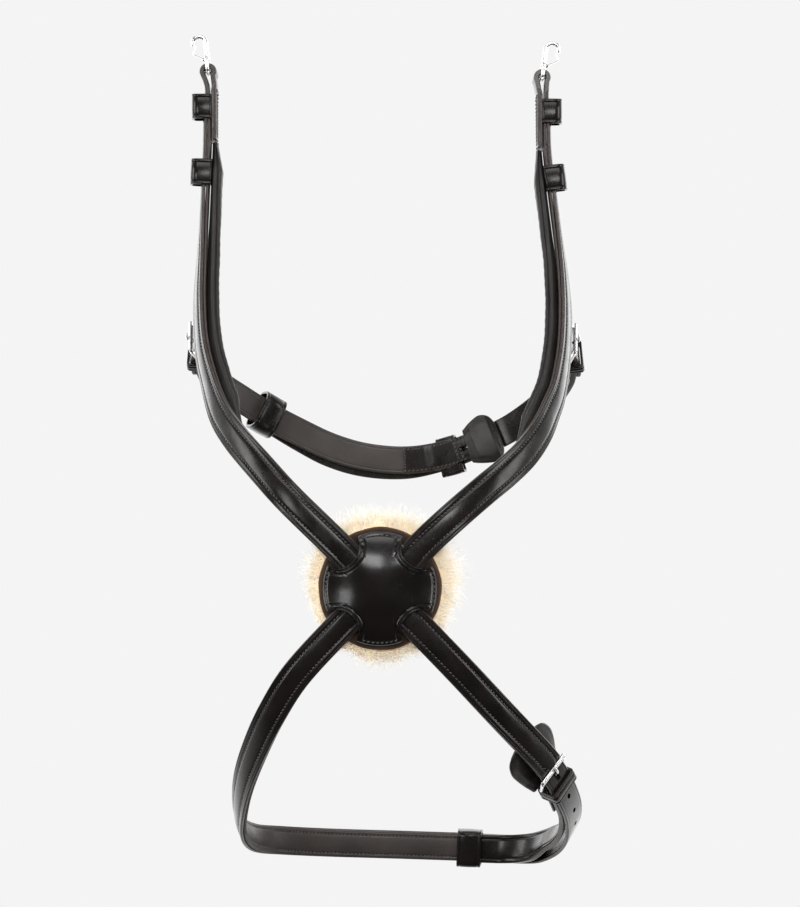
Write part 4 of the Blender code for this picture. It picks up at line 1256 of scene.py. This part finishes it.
def strap_room(x, z):
    """Lowest the front leather may come: over a strap it rides on the strap, elsewhere on the back."""
    lateral = abs(abs(x) - abs(z)) / math.sqrt(2.0)
    part = clamp((11.8 - lateral) / 1.6)
    return GAP + (6.3 - GAP) * part * part * (3.0 - 2.0 * part)


def mouth_distance(x, z):
    """How far a point is outside the nearest scallop."""
    return min(
        math.hypot(x - SCALLOP_CENTRE * math.cos(turn), z - SCALLOP_CENTRE * math.sin(turn)) - SCALLOP_RADIUS
        for turn in DIAGONALS
    )


def disc_top(x, z):
    """Height of the front leather with its moulded lips, creases and stitch line."""
    radius = math.hypot(x, z)
    height = height_over_disc(radius, math.atan2(z, x))
    from_mouth = mouth_distance(x, z)
    height -= 0.50 * bump(from_mouth, 1.2, 0.34) + 0.55 * bump(from_mouth, 3.4, 0.40)
    height += 0.30 * bump(from_mouth, 2.3, 0.7)
    if from_mouth > 2.0:
        height -= 0.32 * bump(radius, DISC_STITCH_RADIUS, 0.6)
    return height


def disc_front():
    """The domed front leather: rings drawn in from its edge, and an underside that clears the straps."""
    boundary = disc_boundary()
    insets = (
        0.0, 0.25, 0.6, 0.9, 1.2, 1.5, 1.8, 2.2, 2.6, 3.0, 3.4, 3.8, 4.1, 4.4, 4.7, 5.1, 5.6, 6.3, 7.2, 8.4,
    )
    inner_rings = 20
    builder = bmesh.new()
    layer = builder.verts.layers.float.new("wear")

    def ring(reach_at, height_at, wear=0.0):
        row = []
        for angle, radius in boundary:
            x = reach_at(radius) * math.cos(angle)
            z = reach_at(radius) * math.sin(angle)
            row.append(marked(builder, layer, (x, -height_at(x, z), z), wear))
        return row

    def edge_ring(inset):
        rounding = DISC_EDGE_ROUND * fallen(1.0 - inset / DISC_EDGE_ROUND)
        wear = 1.0 if inset == 0.0 else 0.0
        return ring(lambda radius: radius - inset, lambda x, z: disc_top(x, z) - rounding, wear)

    def inner_ring(index):
        share = 1.0 - index / inner_rings
        return ring(lambda radius: (radius - insets[-1]) * share, disc_top)

    def under_ring(share):
        return ring(lambda radius: radius * share, lambda x, z: min(strap_room(x, z), disc_top(x, z) - 1.2))

    rows = [edge_ring(inset) for inset in insets]
    rows += [inner_ring(index) for index in range(1, inner_rings)]
    under = [under_ring(share) for share in (1.0, 0.97, 0.85, 0.6, 0.3)]
    for rings in (rows, under, [rows[0], under[0]]):
        skin(builder, rings, capped=False)
    crown = builder.verts.new((0.0, -disc_top(0.0, 0.0), 0.0))
    floor = builder.verts.new((0.0, -strap_room(0.0, 0.0), 0.0))
    for row, centre in ((rows[-1], crown), (under[-1], floor)):
        for first, second in zip(row, row[1:] + row[:1]):
            builder.faces.new((first, second, centre))
    add_piece("nose_disc_front", builder, (DISC,), sharp=60.0)


def disc_stitches():
    """The stitches along the disc's rim, between its mouths."""
    stitching = Stitching()
    radius = DISC_STITCH_RADIUS
    clear = math.asin(SCALLOP_RADIUS / SCALLOP_CENTRE) + 0.10
    for diagonal in DIAGONALS:
        start = diagonal + clear
        end = diagonal + math.pi / 2 - clear
        for angle in spread(start, end, DISC_STITCH_PITCH / radius):
            x = radius * math.cos(angle)
            z = radius * math.sin(angle)
            place = Vector((x, -(disc_top(x, z) + 0.06), z))
            ahead = Vector((-math.sin(angle), 0.0, math.cos(angle)))
            slope = Vector((0.45 * math.cos(angle), -1.0, 0.45 * math.sin(angle))).normalized()
            stitching.add(place, ahead, slope, DISC_STITCH_PITCH, slant=14.0, radius=0.52)
    stitching.finish("nose_disc_stitching", slot="disc_leather")


def lathe(profile, sides, mark, radius_at):
    """A turned body about the disc's axis; profile holds (radius, y, mark) from front to back."""
    builder = bmesh.new()
    layer = builder.verts.layers.float.new(mark)
    rows = []
    for radius, y, value in profile:
        row = []
        for side in range(sides):
            angle = math.tau * side / sides
            reach = radius_at(radius, y, angle)
            row.append(marked(builder, layer, (reach * math.cos(angle), y, reach * math.sin(angle)), value))
        rows.append(row)
    skin(builder, rows)
    return builder


def disc_back():
    """The back leather, with its uneven felt edge."""
    profile = (
        (30.0, 0.1, 0.0), (35.6, 0.1, 0.0), (36.9, 0.25, 0.3), (37.6, 0.75, 0.9), (37.8, 1.5, 1.0),
        (37.6, 2.3, 1.0), (37.0, 2.85, 0.9), (35.0, 3.0, 0.4), (20.0, 3.0, 0.2),
    )

    def uneven(radius, _, angle):
        return radius + 0.18 * math.sin(5 * angle + 1.0) + 0.10 * math.sin(13 * angle)

    add_piece("nose_disc_back", lathe(profile, 144, "wear", uneven), (FELT,))


def tuft(builder, layer, root, direction, curl, length, width):
    """One lock of wool: a thin curling spindle."""
    side = direction.cross(curl).normalized()
    rows = []
    for step in range(5):
        part = step / 4
        place = root + direction * (length * part) + curl * (length * 0.45 * part * part)
        points = circle(place, side, curl, width * (1.0 - part) ** 0.7 + 0.03, 3)
        rows.append([marked(builder, layer, point, part) for point in points])
    skin(builder, rows)


def front_lock(builder, layer, chance):
    """A lock that leans outwards from the cushion's front edge or its side."""
    angle = chance.uniform(0.0, math.tau)
    outer = Vector((math.cos(angle), 0.0, math.sin(angle)))
    reach = chance.uniform(33.0, 42.0)
    y = 4.3 + max(0.0, reach - 36.0) * 0.4
    if chance.random() > 0.6:
        reach = chance.uniform(38.0, 42.5)
        y = chance.uniform(6.5, 14.4)
    lean = Vector((chance.gauss(0, 0.6), max(-0.15, chance.gauss(-0.05, 0.3)), chance.gauss(0, 0.6)))
    direction = (outer * 1.2 + lean).normalized()
    curl = Vector((chance.gauss(0, 1), chance.gauss(0, 1), chance.gauss(0, 1)))
    curl = direction.cross(curl).normalized()
    curl.y = max(-0.1, curl.y)
    drift = 1.0 + 0.35 * math.cos(angle - 0.8) + 0.20 * math.sin(3 * angle) + 0.12 * math.sin(7 * angle)
    length = min((3.0 + 9.5 * chance.random() ** 1.7) * drift, WOOL_REACH - reach)
    root = outer * reach + Vector((0.0, y, 0.0))
    tuft(builder, layer, root, direction, curl, length, chance.uniform(0.09, 0.20))


def back_lock(builder, layer, chance):
    """A short thick lock on the cushion's back."""
    angle = chance.uniform(0.0, math.tau)
    reach = 41.0 * math.sqrt(chance.random())
    root = Vector((reach * math.cos(angle), 14.1 if reach < 36.0 else 13.2, reach * math.sin(angle)))
    direction = Vector((chance.gauss(0, 0.8), 0.45, chance.gauss(0, 0.8))).normalized()
    curl = direction.cross(Vector((chance.gauss(0, 1), 0.0, chance.gauss(0, 1)))).normalized()
    tuft(builder, layer, root, direction, curl, chance.uniform(2.0, 4.5), chance.uniform(0.16, 0.3))


def sheepskin():
    """The fleece pad behind the disc: a woolly cushion with curling locks round it."""
    profile = (
        (12.0, 3.5, 0.0), (30.0, 3.6, 0.0), (37.0, 4.2, 0.1), (41.0, 6.2, 0.4), (42.6, 8.6, 0.7),
        (42.4, 11.2, 0.8), (40.0, 13.6, 0.7), (34.0, 14.6, 0.6), (20.0, 14.8, 0.6),
    )

    def lumpy(radius, y, angle):
        lump = 0.9 * math.sin(9 * angle + y) + 0.7 * math.sin(17 * angle - 2 * y) + 0.5 * math.sin(29 * angle)
        return radius + lump * min(1.0, radius / 42.0)

    piece = add_piece("sheepskin_pad", lathe(profile, 180, "tip", lumpy), (FLEECE,))

    chance = random.Random(WOOL_SEED)
    builder = bmesh.new()
    layer = builder.verts.layers.float.new("tip")
    for _ in range(FRONT_LOCKS):
        front_lock(builder, layer, chance)
    for _ in range(BACK_LOCKS):
        back_lock(builder, layer, chance)
    wisps = add_piece("sheepskin_locks", builder, (FLEECE,), nodes=())


# ---------------------------------------------------------------- the whole noseband

def build():
    disc_front()
    disc_stitches()
    disc_back()
    sheepskin()
    cheek(
        "left", -1.0, Route(UPPER_LEFT), bar=Vector((-114.0, 119.0, 334.0)), tilt=6.0, inset=3.3,
        keepers=(("upper", (-117.3, 118.5, 312.0)), ("lower", (-118.0, 113.6, 267.5))),
        top=(-117.2, 117.4, 302.5), pad_ends=((-117.3, 116.0, 288.4), (-92.4, 30.0, 93.6)),
        fold_end=(-117.2, 116.0, 289.0),
    )
    cheek(
        "right", 1.0, Route(UPPER_RIGHT), bar=Vector((105.8, 119.0, 330.0)), tilt=8.0, inset=5.6,
        keepers=(("upper", (111.4, 118.5, 309.0)), ("lower", (114.2, 113.6, 264.0))),
        top=(111.5, 117.4, 299.5), pad_ends=((111.8, 116.0, 283.4), (88.0, 24.0, 80.0)),
        fold_end=(111.8, 116.0, 284.0),
    )
    lower_left = Route(LOWER_LEFT)
    face("lower_strap_left", lower_left, 0.0, lower_left.length)
    face_stitches("lower_stitching_left", lower_left, 16.0, lower_left.length - 10.0)
    lining("lower_lining_left", lower_left, 0.0, lower_left.length)
    lining_stitches("lower_lining_stitching_left", lower_left, 60.0, lower_left.length - 12.0)
    jaw_assembly(Route(JAW_LEFT), Route(JAW_RIGHT))
    chin_assembly(Route(LOWER_RIGHT))


# ---------------------------------------------------------------- studio

CAMERA_PLACE = Vector((12.3, -1500.0, 82.8))
LENS_MM = 97.2
FLOOR_BELOW = 0.045
FLOOR_HALF = 14.0
FLOOR_STEPS = 12
WORLD_STRENGTH = 1.35
AIM = (0.0, -0.05, -0.3)

# Name, place, what it points at, width and height, and how bright its face looks in a mirror.
SOFT_BOXES = (
    ("left_box", (-1.0, -1.6, -0.10), AIM, (0.45, 0.7), 6.0),
    ("top_box", (0.20, -1.5, 0.24), AIM, (0.55, 0.36), 9.0),
    ("high_box", (0.0, -1.0, 1.1), AIM, (1.4, 0.7), 3.0),
    ("right_box", (1.8, -0.8, 0.1), AIM, (0.7, 1.4), 5.0),
    ("left_side_box", (-2.0, -0.5, 0.1), AIM, (0.7, 1.4), 5.0),
    ("left_back_box", (-1.3, 1.3, 0.0), AIM, (0.9, 1.4), 1.9),
    ("right_back_box", (1.3, 1.3, 0.0), AIM, (0.9, 1.4), 1.9),
    ("fill", (0.0, -2.4, 0.2), (0.0, 0.0, -0.3), (1.6, 1.6), 7.0),
)


def add_camera():
    """The photograph's view: straight from the front, level, from 1.5 m away."""
    data = bpy.data.cameras.new("camera")
    data.lens = LENS_MM
    data.sensor_width = 36.0
    data.clip_start = 0.05
    data.clip_end = 60.0
    camera = linked("camera", data)
    camera.location = world(CAMERA_PLACE)
    camera.rotation_euler = (math.radians(90.0), 0.0, 0.0)
    bpy.context.scene.camera = camera


def add_floor():
    """A wide floor a little below the part, hidden from mirrored and bounced light."""
    builder = bmesh.new()
    low = CAD_LOW.z - FLOOR_BELOW
    places = [(step / FLOOR_STEPS - 0.5) * 2 * FLOOR_HALF for step in range(FLOOR_STEPS + 1)]
    rows = [[builder.verts.new((x, y, low)) for y in places] for x in places]
    for first, second in zip(rows, rows[1:]):
        for index in range(FLOOR_STEPS):
            builder.faces.new((first[index], second[index], second[index + 1], first[index + 1]))
    mesh = bpy.data.meshes.new("floor")
    builder.to_mesh(mesh)
    builder.free()
    mesh.materials.append(floor_finish())
    floor = linked("floor", mesh)
    floor.visible_glossy = False
    floor.visible_diffuse = False


def add_lamp(name, place, target, size, radiance):
    """A soft box that the camera can't see; steel doesn't mirror the fill."""
    data = bpy.data.lights.new(name, "AREA")
    data.shape = "RECTANGLE"
    data.size, data.size_y = size
    data.energy = radiance * math.pi * size[0] * size[1]
    lamp = linked(name, data)
    lamp.location = place
    lamp.rotation_euler = (Vector(target) - Vector(place)).to_track_quat("-Z", "Y").to_euler()
    lamp.visible_camera = False
    lamp.visible_glossy = name != "fill"


def add_world():
    """A pale studio: bright behind the part, dim on the side that its front faces reflect."""
    made = bpy.data.worlds.new("studio")
    bpy.context.scene.world = made
    made.use_nodes = True
    tree = made.node_tree
    tree.nodes.clear()
    output = tree.nodes.new("ShaderNodeOutputWorld")
    seen = tree.nodes.new("ShaderNodeBackground")
    seen.inputs["Color"].default_value = (BACKDROP, BACKDROP, BACKDROP, 1.0)
    lit = tree.nodes.new("ShaderNodeBackground")
    lit.inputs["Strength"].default_value = WORLD_STRENGTH
    mix = tree.nodes.new("ShaderNodeMixShader")
    path = tree.nodes.new("ShaderNodeLightPath")
    where = tree.nodes.new("ShaderNodeTexCoord")
    split = tree.nodes.new("ShaderNodeSeparateXYZ")
    ramp = tree.nodes.new("ShaderNodeValToRGB")
    half = tree.nodes.new("ShaderNodeMapRange")
    half.inputs["From Min"].default_value = -1.0
    for element, position, grey in zip(ramp.color_ramp.elements, (0.34, 0.80), (0.03, 1.0)):
        element.position = position
        element.color = (grey, grey, grey, 1.0)
    for source, socket, node, into in (
        (where, "Generated", split, "Vector"), (split, "Y", half, "Value"), (half, "Result", ramp, "Fac"),
        (ramp, "Color", lit, "Color"), (path, "Is Camera Ray", mix, "Fac"), (lit, "Background", mix, 1),
        (seen, "Background", mix, 2), (mix, "Shader", output, "Surface"),
    ):
        tree.links.new(source.outputs[socket], node.inputs[into])


def add_studio():
    add_floor()
    add_world()
    for lamp in SOFT_BOXES:
        add_lamp(*lamp)
    bpy.context.scene.view_settings.view_transform = "Standard"


add_camera()
build()
add_studio()
